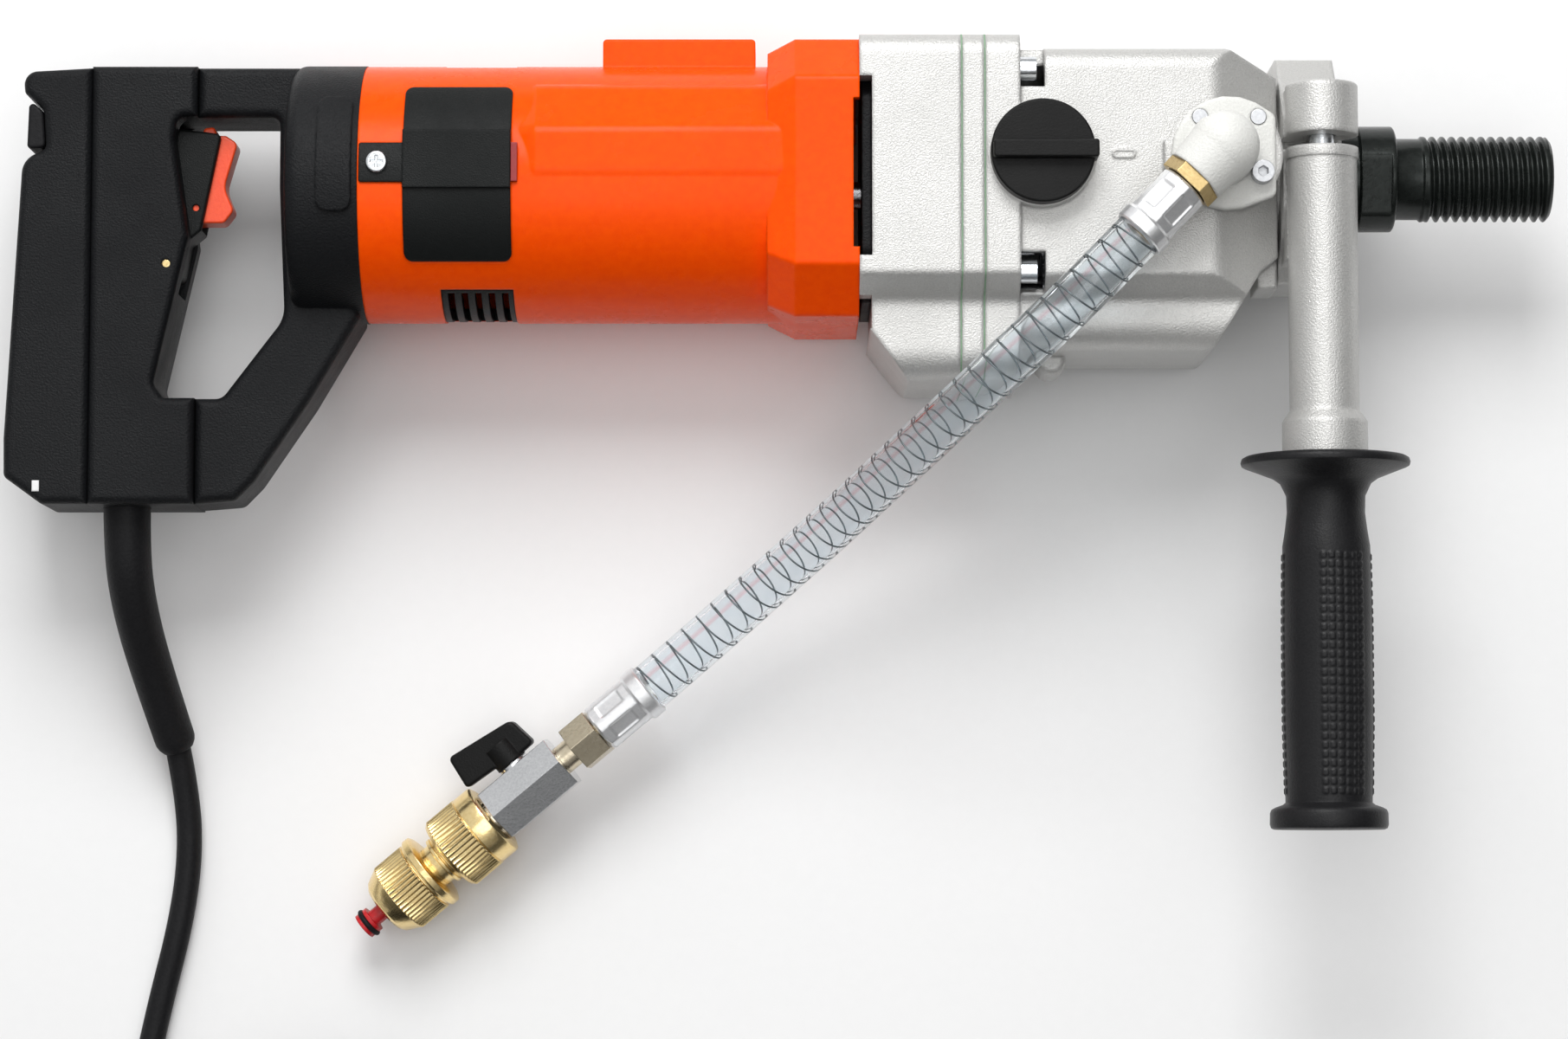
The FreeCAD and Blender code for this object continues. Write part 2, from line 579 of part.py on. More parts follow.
def armature_core():
    body = rod_x(ARMATURE_R, CORE_X[0], CORE_X[1], MOTOR_Y)
    heads = [rod_x(ARMATURE_R - 5, CORE_X[0] - 14, CORE_X[0], MOTOR_Y), rod_x(ARMATURE_R - 5, CORE_X[1],
             CORE_X[1] + 6, MOTOR_Y)]
    body = fuse([body] + heads)
    for i in range(12):
        slot = block(CORE_X[0] - 1, CORE_X[1] + 1, ARMATURE_R - 4.0, ARMATURE_R + 1, -1.2, 1.2)
        slot.rotate(V(0, 0, 0), V(1, 0, 0), 30 * i)
        body = body.cut(slot.translate(V(0, MOTOR_Y, 0)))
    return body.cut(rod_x(MOTOR_SHAFT_R, -400, -100, MOTOR_Y))


def commutator():
    body = rod_x(COMMUTATOR_R, *COMMUTATOR_X, MOTOR_Y)
    return body.cut(rod_x(MOTOR_SHAFT_R, -400, -100, MOTOR_Y))


def cooling_fan():
    pieces = [rod_x(2 * MOTOR_SHAFT_R, FAN_X[0], FAN_X[1], MOTOR_Y),
              rod_x(FAN_R, FAN_X[1] - 2, FAN_X[1], MOTOR_Y)]
    for i in range(14):
        blade = block(FAN_X[0], FAN_X[1], 2 * MOTOR_SHAFT_R - 1, FAN_R - 1, -0.8, 0.8)
        blade.rotate(V(0, 0, 0), V(1, 0, 0), 360 / 14 * i)
        pieces.append(blade.translate(V(0, MOTOR_Y, 0)))
    return fuse(pieces).cut(rod_x(MOTOR_SHAFT_R, -400, -100, MOTOR_Y))


def bearing(r, hole, x0, x1, y):
    return ring_x(r, hole + RUN_FIT, x0, x1, y)


def shaft_seal():
    return ring_x(NOSE_BEARING_R, SHAFT_R + RUN_FIT, NOSE_BEARING[1] + 0.2, NECK_END, 0)


def ball_bearings():
    """Bearings of the spindle, the countershaft and the motor shaft."""
    return Part.makeCompound([
        bearing(NOSE_BEARING_R, SHAFT_R, *NOSE_BEARING, 0),
        bearing(TAIL_BEARING_R, TAIL_SHAFT_R, *TAIL_BEARING, 0),
        bearing(COUNTER_BEARING_R, COUNTER_R, *BULKHEAD_BEARING, COUNTER_Y),
        bearing(COUNTER_BEARING_R, COUNTER_R, *COUNTER_FRONT, COUNTER_Y),
        bearing(MOTOR_BEARING_R, MOTOR_SHAFT_R, *BULKHEAD_BEARING, MOTOR_Y),
        bearing(BRIDGE_BEARING_R, MOTOR_SHAFT_R, *BRIDGE_BEARING, MOTOR_Y)])


# ---- motor ---------------------------------------------------------------------------------------
def octagon(grow):
    """Corners of the motor housing's front flange, moved out by grow."""
    top = FLANGE_TOP + grow
    low = FLANGE_BOTTOM - grow
    side = CASE_HALF + grow
    c = FLANGE_CHAMFER
    return [(top, side - c, 3), (top - c, side, 3), (low + c, side, 3), (low, side - c, 3),
            (low, c - side, 3), (low + c, -side, 3), (top - c, -side, 3), (top, c - side, 3)]


COVER_CORNERS = [(COVER_X[0], COVER_Y[1], 3), (COVER_X[0], TAB_Y[1], 0.8), (TAB_X, TAB_Y[1], 0.8),
                 (TAB_X, TAB_Y[0], 0.8), (COVER_X[0], TAB_Y[0], 0.8), (COVER_X[0], COVER_Y[0], 3),
                 (COVER_X[1], COVER_Y[0], 3), (COVER_X[1], COVER_Y[1], 3)]


VIAL_Y = LEVEL_TOP - 3.5
VENTS = [(MOTOR_Y - MOTOR_R - 6.7, MOTOR_Y - MOTOR_R + 8.8, -15, 27),
         (MOTOR_Y + MOTOR_R - 11.3, MOTOR_Y + MOTOR_R + 18.7, -14, 14)]


def saddle(grow):
    """Corners of the flank panel's cross-section, which stands proud of the barrel on both flanks."""
    flat = MOTOR_R + SADDLE_RISE + grow
    right = [(MOTOR_Y + 36.0, flat - 16.0, 7), (MOTOR_Y + 17.0, flat - 0.4, 6), (MOTOR_Y + 2.0, flat, 6),
             (MOTOR_Y - 29.0, flat - 10.0, 5)]
    left = [(y, -z, r) for y, z, r in reversed(right)]
    return right + left


def taper(corners_a, x_a, corners_b, x_b):
    """Straight loft between two sections across X with the same number of corners."""
    first = rounded_wire(corners_a, lambda p: V(x_a, p.x, p.y))
    last = rounded_wire(corners_b, lambda p: V(x_b, p.x, p.y))
    return Part.makeLoft([first, last], True, True)


def motor_housing():
    barrel = rod_x(MOTOR_R, MOTOR_REAR, FLANGE_START + 1, MOTOR_Y)
    panel = plate_x(saddle(0), SADDLE_X[1], FLANGE_START + 1)
    slope = taper(saddle(-3.4), SADDLE_X[0], saddle(0), SADDLE_X[1])
    flange = plate_x(octagon(0), FLANGE_START, CASE_REAR)
    flare = taper(octagon(-4.5), FLANGE_START - FLARE, octagon(0), FLANGE_START)
    level = plate_z([(LEVEL_X[0], LEVEL_TOP, 1.5), (LEVEL_X[0], MOTOR_R - 17, 0),
                     (LEVEL_X[1], MOTOR_R - 17, 0), (LEVEL_X[1], LEVEL_TOP, 1.5)], -LEVEL_HALF, LEVEL_HALF)
    body = fuse([barrel, panel, slope, flare, flange, level])
    body = body.cut(rod_x(MOTOR_R - MOTOR_WALL, MOTOR_REAR - 1, FLANGE_START + 4, MOTOR_Y))
    body = body.cut(plate_x(octagon(-FLANGE_WALL), FLANGE_START + 3, CASE_REAR + 1))
    cover_cut = plate_z(COVER_CORNERS, MOTOR_R - 27, MOTOR_R + 13)
    notch = block(CASE_REAR - NOTCH, CASE_REAR + 1, *NOTCH_Y, CASE_HALF - 12, CASE_HALF + 1)
    clip = cover_clip()
    for cut in (cover_cut, clip, notch):
        body = body.cut(cut).cut(mirror_z(cut))
    for opening in VENTS:
        body = body.cut(block(*VENT_X, *opening))
    return body.cut(rod_x(VIAL_R, LEVEL_X[0] + VIAL_END, LEVEL_X[1] - VIAL_END, VIAL_Y))


def level_vial():
    x0 = LEVEL_X[0] + VIAL_END
    x1 = LEVEL_X[1] - VIAL_END
    return rod_x(VIAL_R, x0, x1, VIAL_Y).common(block(x0, x1, 0, LEVEL_TOP - 0.4, -VIAL_R - 1, VIAL_R + 1))


def brush_cover():
    """Crowned cover over one brush, held by one screw through its tab."""
    outline = plate_z(COVER_CORNERS, MOTOR_R - 27, MOTOR_R + 13)
    skin = ring_x(MOTOR_R + COVER_RISE, MOTOR_R - MOTOR_WALL + 0.8, MOTOR_REAR, COVER_X[1] + 1, MOTOR_Y)
    crown = block(*COVER_X, MOTOR_Y - 5, MOTOR_Y + 16, MOTOR_R - 3.3, MOTOR_R + COVER_RISE + 1.2)
    crown = crown.cut(rod_x(MOTOR_R - 1, MOTOR_REAR, COVER_X[1] + 1, MOTOR_Y)).common(outline)
    body = fuse([skin.common(outline), crown])
    return body.cut(rod_z(COVER_SCREW_R + PRESS, MOTOR_R - 17, MOTOR_R + 13, *COVER_SCREW))


def cover_screw():
    x, y = COVER_SCREW
    z0 = MOTOR_R + COVER_RISE + RUN_FIT
    head = soften(rod_z(3.9, z0, z0 + 1.5, x, y), 0.8, lambda p: p.z > z0 + 1.4)
    shank = rod_z(COVER_SCREW_R, MOTOR_R - 12, z0 + 0.5, x, y)
    slots = [block(x - 2.2, x + 2.2, y - 0.5, y + 0.5, z0 + 0.5, z0 + 9),
             block(x - 0.5, x + 0.5, y - 2.2, y + 2.2, z0 + 0.5, z0 + 9)]
    body = fuse([head, shank])
    for slot in slots:
        body = body.cut(slot)
    return body


def cover_clip():
    return block(COVER_X[1] + 0.1, COVER_X[1] + 2.4, TAB_Y[0] + 0.2, TAB_Y[1] - 0.2,
                 MOTOR_R - 1.2, MOTOR_R + 1.4)


def grille(y0, y1, z0, z1):
    """Slatted vent that follows the barrel."""
    skin = ring_x(MOTOR_R - 0.6, MOTOR_R - 4.5, *VENT_X, MOTOR_Y).common(block(*VENT_X, y0, y1, z0, z1))
    for i in range(5):
        x0 = VENT_X[0] + VENT_SLOT + VENT_PITCH * i
        skin = skin.cut(block(x0, x0 + VENT_SLOT, y0 - 1, y1 + 1, z0 + 2.5, z1 - 2.5))
    return skin


COIL_HALF = 11.7
COIL_POCKET = (ARMATURE_R + 3.5, ARMATURE_R + 12.5)


def stator_core():
    body = ring_x(MOTOR_R - MOTOR_WALL - STATOR_FIT, ARMATURE_R + AIR_GAP, CORE_X[0], CORE_X[1], MOTOR_Y)
    for side in (1, -1):
        half = COIL_HALF + GAP
        pocket = block(CORE_X[0] - 1, CORE_X[1] + 1, -half, half, *COIL_POCKET)
        pocket = pocket.cut(rod_x(ARMATURE_R + 3.0, CORE_X[0] - 2, CORE_X[1] + 2))
        pocket = pocket if side > 0 else mirror_z(pocket)
        body = body.cut(pocket.translate(V(0, MOTOR_Y, 0)))
    return body


def field_coils():
    solids = []
    for side in (1, -1):
        coil = block(CORE_X[0] - 8, CORE_X[1] + 4, -COIL_HALF, COIL_HALF,
                     COIL_POCKET[0] + 0.6, COIL_POCKET[1] - 0.2)
        coil = coil if side > 0 else mirror_z(coil)
        solids.append(coil.translate(V(0, MOTOR_Y, 0)))
    return Part.makeCompound(solids)


def brush_pair(make):
    upper = make()
    return Part.makeCompound([upper, mirror_z(upper)])


def brush_holder():
    long = BRUSH[0] / 2
    wide = BRUSH[1] / 2
    body = block(BRUSH_X - long - 1.8, BRUSH_X + long + 1.8, MOTOR_Y - wide - 1.8, MOTOR_Y + wide + 1.8,
                 COMMUTATOR_R + 2, MOTOR_R - 5)
    return body.cut(block(BRUSH_X - long - 0.1, BRUSH_X + long + 0.1,
                          MOTOR_Y - wide - 0.1, MOTOR_Y + wide + 0.1, 0, MOTOR_R - 6.5))


def carbon_brush():
    long = BRUSH[0] / 2
    wide = BRUSH[1] / 2
    shape = block(BRUSH_X - long, BRUSH_X + long, MOTOR_Y - wide, MOTOR_Y + wide, 5, COMMUTATOR_R + 17)
    return shape.cut(rod_x(COMMUTATOR_R + GAP, *COMMUTATOR_X, MOTOR_Y))


def bearing_bridge():
    """Cross wall inside the handle ring that carries the motor shaft's rear bearing."""
    x0 = MOTOR_REAR + 0.2
    x1 = BRIDGE_BEARING[1]
    disc = rod_x(MOTOR_R - MOTOR_WALL - STATOR_FIT, x0, x1, MOTOR_Y)
    disc = disc.cut(rod_x(BRIDGE_BEARING_R, BRIDGE_BEARING[0], x1 + 1, MOTOR_Y))
    disc = disc.cut(rod_x(MOTOR_SHAFT_R + PASS, x0 - 1, x1 + 1, MOTOR_Y))
    for turn in range(6):
        port = rod_x(9, x0 - 1, x1 + 1, 30)
        port.rotate(V(0, 0, 0), V(1, 0, 0), 60 * turn + 30)
        disc = disc.cut(port.translate(V(0, MOTOR_Y, 0)))
    return disc.cut(rod_z(COVER_SCREW_R + PRESS, -MOTOR_R, MOTOR_R, *COVER_SCREW))


# ---- D handle ------------------------------------------------------------------------------------
def handle_frame():
    """Ring behind the motor, the top bridge and the lower leg, in one moulding."""
    ring = rod_x(MOTOR_R + RING_STEP, RING_REAR, MOTOR_REAR, MOTOR_Y)
    ring = soften(ring, 5.0, lambda p: abs(p.x - RING_REAR) < 1e-4)
    frame = soft_plate_z([(SEAM_FRONT, BRIDGE_TOP, 0), (RING_REAR + 4, BRIDGE_TOP, 2),
                          (RING_REAR + 12, -40, 6), (-378.5, -52.0, 3), (-397.6, -84.6, 12),
                          (-417.0, -113.4, 8), (-424.0, -120.6, 4),
                          (SEAM_FRONT, -121.8, 0), (SEAM_FRONT, -83.2, 0), (-429.5, -83.2, 5),
                          (-407.0, -53.5, 12), (-409.2, -5.0, 30), (-409.2, BRIDGE_BOTTOM, 3),
                          (SEAM_FRONT, BRIDGE_BOTTOM, 0)], 17.0, 3.5)
    pad = plate_z([(-392.5, 24.0, 4), (-392.5, -19.0, 4), (-380.0, -19.0, 4), (-380.0, 24.0, 4)],
                  MOTOR_R - 17, MOTOR_R + 13)
    pad = pad.common(rod_x(MOTOR_R + RING_STEP + 1.4, RING_REAR, MOTOR_REAR, MOTOR_Y))
    body = fuse([ring, frame, pad, mirror_z(pad)])
    hollow = rod_x(MOTOR_R - 4.5, RING_REAR + 5, MOTOR_REAR + 1, MOTOR_Y)
    half = INDICATOR_HALF + 0.2
    slot = block(INDICATOR_X[0] - 0.2, INDICATOR_X[1] + 0.2, BRIDGE_TOP - 3.3, BRIDGE_TOP + 19, -half, half)
    return body.cut(hollow).cut(slot)


def indicator():
    return block(*INDICATOR_X, BRIDGE_TOP - 1.8, BRIDGE_TOP + 0.6, -INDICATOR_HALF, INDICATOR_HALF)


def paddle_slot():
    return plate_z([(-461.0, -44.0, 2), (-430.0, -44.0, 0), (-425.0, 30.0, 0), (-456.5, 30.0, 2)],
                   -PADDLE_HALF - GAP, PADDLE_HALF + GAP)


def grip_shell():
    corners = [(SEAM_REAR, BRIDGE_TOP, 0), (SEAM_FRONT, BRIDGE_TOP, 0), (SEAM_FRONT, BRIDGE_BOTTOM, 0),
               (-446.5, BRIDGE_BOTTOM, 4), (-447.5, 12.0, 0), (-442.0, -24.0, 3), (-454.2, -78.0, 4),
               (-450.5, -83.2, 2), (SEAM_FRONT, -83.2, 0), (SEAM_FRONT, HANDLE_BOTTOM, 0),
               (SEAM_REAR, HANDLE_BOTTOM, 0)]
    body = soft_plate_z(corners, GRIP_HALF, 3.0)
    opening = block(-462, -400, -44, BRIDGE_BOTTOM, -GRIP_HALF, GRIP_HALF)
    body = body.cut(paddle_slot().common(opening))
    half = SWITCH_HALF + 0.1
    body = body.cut(block(SWITCH_X[0] - 0.2, SWITCH_X[1] + 2.5, -70.0, 30.0, -half, half))
    pin_hole = rod_z(PADDLE_PIN_R + 2 * RUN_FIT, -GRIP_HALF - 1, GRIP_HALF + 1, *PADDLE_PIVOT)
    body = body.cut(pin_hole)
    return body.cut(rod_y(SLEEVE_R, HANDLE_BOTTOM - 1, HANDLE_BOTTOM + 12, CORD_EXIT[0], 0))


def grip_rear_cover():
    """Rear half of the grip; its back edge is one long gentle curve."""
    x = GRIP_REAR
    corners = [(SEAM_REAR, BRIDGE_TOP - 0.6, 0), (SEAM_REAR, HANDLE_BOTTOM, 0), (x + 14.0, HANDLE_BOTTOM, 3),
               (x + 0.2, -112.0, 3), (x, -98.0, 30), (x + 5.4, 5.0, 8), (x + 14.0, 8.0, 3),
               (x + 13.0, 23.0, 5), (x + 6.0, 29.0, 2), (x + 5.2, BRIDGE_TOP - 2.0, 5)]
    body = soft_plate_z(corners, GRIP_HALF, 3.0)
    hollow = block(x + 18.0, SEAM_REAR + 1, -100.0, 28.0, 6 - GRIP_HALF, GRIP_HALF - 6)
    return body.cut(hollow).cut(cover_lug())


def grip_bumper():
    """Soft bumper that fills the recess in the grip's heel."""
    x = GRIP_REAR
    corners = [(x + 6.8, 8.6, 1.5), (x + 13.6, 9.0, 2), (x + 12.6, 22.4, 3.5), (x + 7.4, 27.0, 1.5)]
    return soft_plate_z(corners, GRIP_HALF - 2.5, 1.2)


def cover_lug():
    return block(GRIP_REAR + 11.0, GRIP_REAR + 13.6, -117.6, -113.6, GRIP_HALF - 1.0, GRIP_HALF + 0.3)


def paddle():
    corners = [(-448.6, 17.6, 3), (-431.4, 15.6, 2), (-438.6, -20.4, 1.5), (-443.6, -24.5, 1.5),
               (-446.0, -38.3, 3.5), (-454.0, -38.3, 3.5), (-453.5, -20.0, 6)]
    body = soft_plate_z(corners, PADDLE_HALF, 1.2)
    half = TRIGGER_HALF + GAP
    pocket = plate_z([(-444.6, -20.0, 1.5), (-425.0, -20.0, 0), (-425.0, 30.0, 0), (-443.2, 30.0, 0)],
                     -half, half)
    body = body.cut(pocket)
    body = body.cut(rod_z(PADDLE_PIN_R + RUN_FIT, -GRIP_HALF, GRIP_HALF, *PADDLE_PIVOT))
    return body.cut(rod_z(TRIGGER_PIN_R + RUN_FIT, -GRIP_HALF, GRIP_HALF, *TRIGGER_PIVOT))


def trigger():
    corners = [(-438.2, 18.2, 1.2), (-434.6, 18.7, 1.2), (-433.2, 15.4, 1), (-430.2, 15.4, 1.5),
               (-425.8, 12.5, 2.5), (-430.6, -4.0, 8), (-427.0, -12.5, 2.5), (-430.6, -17.2, 2.5),
               (-443.0, -17.2, 3), (-441.0, 8.0, 2)]
    body = soft_plate_z(corners, TRIGGER_HALF, 0.9)
    return fuse([body, rod_z(TRIGGER_PIN_R, -PADDLE_HALF + 1, PADDLE_HALF - 1, *TRIGGER_PIVOT)])


def paddle_pin():
    return rod_z(PADDLE_PIN_R, -GRIP_HALF + 0.6, GRIP_HALF - 0.6, *PADDLE_PIVOT)


def switch_body():
    return block(*SWITCH_X, -48.0, 18.0, -SWITCH_HALF, SWITCH_HALF)


# ---- selector knob -------------------------------------------------------------------------------
def selector_knob():
    base = KNOB_PAD + 0.4
    top = base + KNOB_THICK
    disc = soften(rod_z(KNOB_R, base, top, KNOB_X, KNOB_Y), 0.8, lambda p: abs(p.z - top) < 1e-4)
    bar = plate_z([(KNOB_X - KNOB_R + 0.8, KNOB_Y + 3.2, 1), (KNOB_X - KNOB_R + 0.8, KNOB_Y - 3.2, 1),
                   (KNOB_X + KNOB_R + 1.0, KNOB_Y - 3.2, 1), (KNOB_X + KNOB_R + 1.0, KNOB_Y + 3.2, 1)],
                  base + 1.2, top + KNOB_BAR)
    bar = soften(bar, 0.7, lambda p: abs(p.z - top - KNOB_BAR) < 1e-4)
    shaft = rod_z(KNOB_SHAFT_R, NOSE_HALF - 12.0, base + 0.2, KNOB_X, KNOB_Y)
    return fuse([disc, bar, shaft])


# ---- side handle ---------------------------------------------------------------------------------
def handle_clamp():
    """Split clamp ring on the neck, with its upper lug and the arm for the grip."""
    r = CLAMP_R / math.cos(math.radians(22.5))
    corners = [(r * math.cos(math.radians(45 * i + 22.5)), r * math.sin(math.radians(45 * i + 22.5)), 3)
               for i in range(8)]
    ring = plate_x(corners, *CLAMP_X)
    lug = soften(rod_y(LUG_R, 0.0, LUG_Y[1], ARM_X, ARM_Z), 1.2, lambda p: p.y > LUG_Y[1] - 1e-4)
    foot = ARM_END + 12.2
    arm = rod_y(ARM_R, foot + 3, LUG_Y[0] - 1, ARM_X, ARM_Z)
    collar = rod_y(ARM_FOOT_R, ARM_END, foot, ARM_X, ARM_Z)
    cone = Part.makeCone(ARM_FOOT_R, ARM_R, 4.0, V(ARM_X, foot, ARM_Z), V(0, 1, 0))
    web = block(CLAMP_X[0] + 1, CLAMP_X[1] - 1, -36.0, 26.0, NECK_R - 6, ARM_Z)
    body = fuse([ring, lug, arm, collar, cone, web])
    body = body.cut(rod_x(NECK_R + RUN_FIT, CLAMP_X[0] - 10, CLAMP_X[1] + 10))
    slit = block(CLAMP_X[0] - 15, CLAMP_X[1] + 15, LUG_Y[0] - SLIT, LUG_Y[0], NECK_R - 8, ARM_Z + 17)
    body = body.cut(slit)
    return body.cut(rod_y(TIE_ROD_R + GAP, ARM_END - 10, LUG_Y[1] + 10, ARM_X, ARM_Z))


def tie_rod():
    return rod_y(TIE_ROD_R, TIE_ROD_END, LUG_Y[1] - 3.0, ARM_X, ARM_Z)


def side_grip():
    y0 = ARM_END - GAP
    profile = [(y0, GRIP_R - 1.4), (y0, GRIP_FLANGE_R - 2), (y0 - 2.0, GRIP_FLANGE_R),
               (y0 - 3.6, GRIP_FLANGE_R - 0.6), (y0 - 9.5, GRIP_R), (y0 - 14.0, GRIP_R - 1.9),
               (y0 - 20.0, GRIP_R - 2.1), (y0 - 32.0, GRIP_R - 0.4),
               (y0 - 60.0, GRIP_R + 0.3), (y0 - 95.0, GRIP_R), (GRIP_END + 9.5, GRIP_R - 0.6),
               (GRIP_END + 7.0, GRIP_R + 4.6), (GRIP_END + 1.5, GRIP_R + 5.0), (GRIP_END, GRIP_R + 4.0)]
    body = turned([(-y, r) for y, r in profile])
    body.rotate(V(0, 0, 0), V(0, 0, 1), -90)
    body.translate(V(ARM_X, 0, ARM_Z))
    return body.cut(rod_y(TIE_ROD_R, TIE_ROD_END, ARM_END + 5, ARM_X, ARM_Z))


# ---- water feed ----------------------------------------------------------------------------------
SUNK = 1.6
FEED = V(math.cos(math.radians(FEED_TURN)), math.sin(math.radians(FEED_TURN)), 0)
ELBOW = V(WATER_X - 3.0, WATER_Y + 0.2, HOSE_Z)
WATER_SCREWS = [(WATER_X - 10.3, WATER_Y + 12.8), (WATER_X + 10.5, WATER_Y + 12.8),
                (WATER_X + 11.6, WATER_Y - 7.6)]
SUNK_SCREWS = WATER_SCREWS[:2]


def water_cap():
    """Cast elbow on a flange that covers the water chamber."""
    corners = [(WATER_X + WATER_FLANGE_R * math.cos(math.radians(a)),
                WATER_Y + WATER_FLANGE_R * math.sin(math.radians(a)), 1.5) for a in range(62, 300, 17)]
    corners += [(WATER_X + 16.8, WATER_Y - 15.5, 3), (WATER_X + 16.8, WATER_Y + 13.5, 4)]
    top = WATER_PAD_TOP + WATER_FLANGE
    flange = soften(plate_z(corners, WATER_PAD_TOP, top), 1.2, lambda p: p.z > top - 0.1)
    riser = rod_z(ELBOW_R, WATER_PAD_TOP + 2, HOSE_Z, ELBOW.x, ELBOW.y)
    dome = Part.makeSphere(ELBOW_R, ELBOW)
    profile = [(0, ELBOW_R - 0.2), (FITTING_START - 2, ELBOW_R - 1.4), (FITTING_START, ELBOW_R - 1.6)]
    barrel = along(turned(profile), ELBOW, FEED)
    body = fuse([flange, riser, dome, barrel])
    body = body.cut(along(rod_x(BARB_R + 1, FITTING_START - 11, FITTING_START + 1), ELBOW, FEED))
    body = body.cut(rod_z(WATER_CHANNEL_R, WATER_PAD_TOP - 10, HOSE_Z - 4, WATER_X, WATER_Y))
    for spot in WATER_SCREWS:
        sunk = spot in SUNK_SCREWS
        body = body.cut(rod_z(SMALL_SCREW_R + 0.22, WATER_PAD_TOP - 10, top + 1, *spot))
        recess = rod_z(SUNK_HEAD_R + 0.1, top - SUNK, HOSE_Z + 8, *spot)
        body = body.cut(recess if sunk else rod_z(CAP_HEAD_R + GAP, top, HOSE_Z + 8, *spot))
    return body


def water_screws():
    """Two small screws sunk in the flange and one cap screw on a split washer."""
    solids = []
    for x, y in WATER_SCREWS:
        z0 = WATER_PAD_TOP + WATER_FLANGE
        shank = rod_z(SMALL_SCREW_R, WATER_PAD_TOP - 8, z0 + 1, x, y)
        if (x, y) in SUNK_SCREWS:
            head = rod_z(SUNK_HEAD_R, z0 - SUNK, z0 + 0.4, x, y)
            solids.append(fuse([shank.common(rod_z(SUNK_HEAD_R, 0, z0, x, y)), head]))
        else:
            washer = rod_z(CAP_HEAD_R, z0, z0 + 1.2, x, y)
            head = rod_z(CAP_HEAD_R - 0.1, z0 + 1.2, z0 + 5.4, x, y)
            socket = hexagon(3.4, 0, 6)
            socket.rotate(V(0, 0, 0), V(0, 1, 0), -90)
            socket.translate(V(x, y, z0 + 2.8))
            solids.append(fuse([washer, head, shank]).cut(socket))
    return Part.makeCompound(solids)


def feed_fitting():
    """Brass hexagon screwed into the elbow, with the barb that the hose is crimped on."""
    body = fuse([rod_x(BARB_R + 0.9, 5.0, FITTING_START),
                 hexagon(2 * HOSE_R + 1, FITTING_START, FITTING_START + FITTING_HEX),
                 rod_x(BARB_R - PRESS, FITTING_START, UPPER_FERRULE_AT + FERRULE - 1.5)])
    return along(body.cut(rod_x(4.0, 0, 60)), ELBOW, FEED)


def ferrule(bore):
    """Crimped sleeve with six long flats; it runs from the fitting at 0 to the hose's mouth."""
    mouth = FERRULE - FERRULE_MOUTH
    body = turned([(0, HOSE_R - 0.1), (1.0, HOSE_R + 0.4), (mouth - 1, HOSE_R + 0.6), (mouth, HOSE_R + 1.3),
                   (FERRULE, HOSE_R + 1.3)])
    flats = hexagon(2 * HOSE_R + 0.2, -1, mouth - 1)
    body = body.common(flats.fuse(rod_x(HOSE_R + 3, mouth - 1, FERRULE + 1)))
    return body.cut(rod_x(bore, -1, FERRULE + 1))


UPPER_FERRULE = ELBOW + FEED * UPPER_FERRULE_AT
HOSE_POINTS = [UPPER_FERRULE + FEED * FERRULE, V(-120, -52, 61.5), V(-141, -71, 55), V(-163, -91, 43.5),
               V(-186, -111, 25), V(-209, -131, 5.5), V(-232, -150.5, -9.5), V(-254.5, -170, -17.5)]
TAIL_START = V(-274.5, -187.0, -20.3)
TAIL_LIE = V(-109.1, -90.5, -15.0).normalize()


def water_hose():
    return route_tube(HOSE_POINTS + [TAIL_START], HOSE_R, "water_hose")


def hose_ferrules():
    upper = along(ferrule(BARB_R), UPPER_FERRULE, FEED)
    lower = along(ferrule(BARB_R), TAIL_START + TAIL_LIE * FERRULE, TAIL_LIE.negative())
    return Part.makeCompound([upper, lower])


def swivel_nut():
    """Plated union nut on the nipple that the hose's lower end is crimped on."""
    body = fuse([hexagon(NUT_FLATS, FERRULE + 0.6, FERRULE + 12.0, VALVE_ROLL + 4),
                 rod_x(BARB_R - 0.1, FERRULE, VALVE_START),
                 rod_x(BARB_R - PRESS, 1.5, FERRULE + 1)])
    return along(body, TAIL_START, TAIL_LIE)


VALVE_SIDE = V(0, 0, 1).cross(TAIL_LIE).normalize().negative()
STEM_CENTRE = TAIL_START + TAIL_LIE * STEM_AT


def valve_body():
    end = VALVE_START + VALVE_LENGTH
    body = fuse([hexagon(VALVE_FLATS, VALVE_START, end, VALVE_ROLL), rod_x(VALVE_TAIL_R, end, end + 4)])
    body = along(body, TAIL_START, TAIL_LIE)
    boss = Part.makeCylinder(2 * STEM_R, VALVE_FLATS / 2 + 1.0, STEM_CENTRE, VALVE_SIDE)
    stem_hole = Part.makeCylinder(STEM_R + RUN_FIT, VALVE_FLATS, STEM_CENTRE, VALVE_SIDE)
    return fuse([body, boss]).cut(stem_hole).cut(Part.makeSphere(BALL_R + 0.1, STEM_CENTRE))


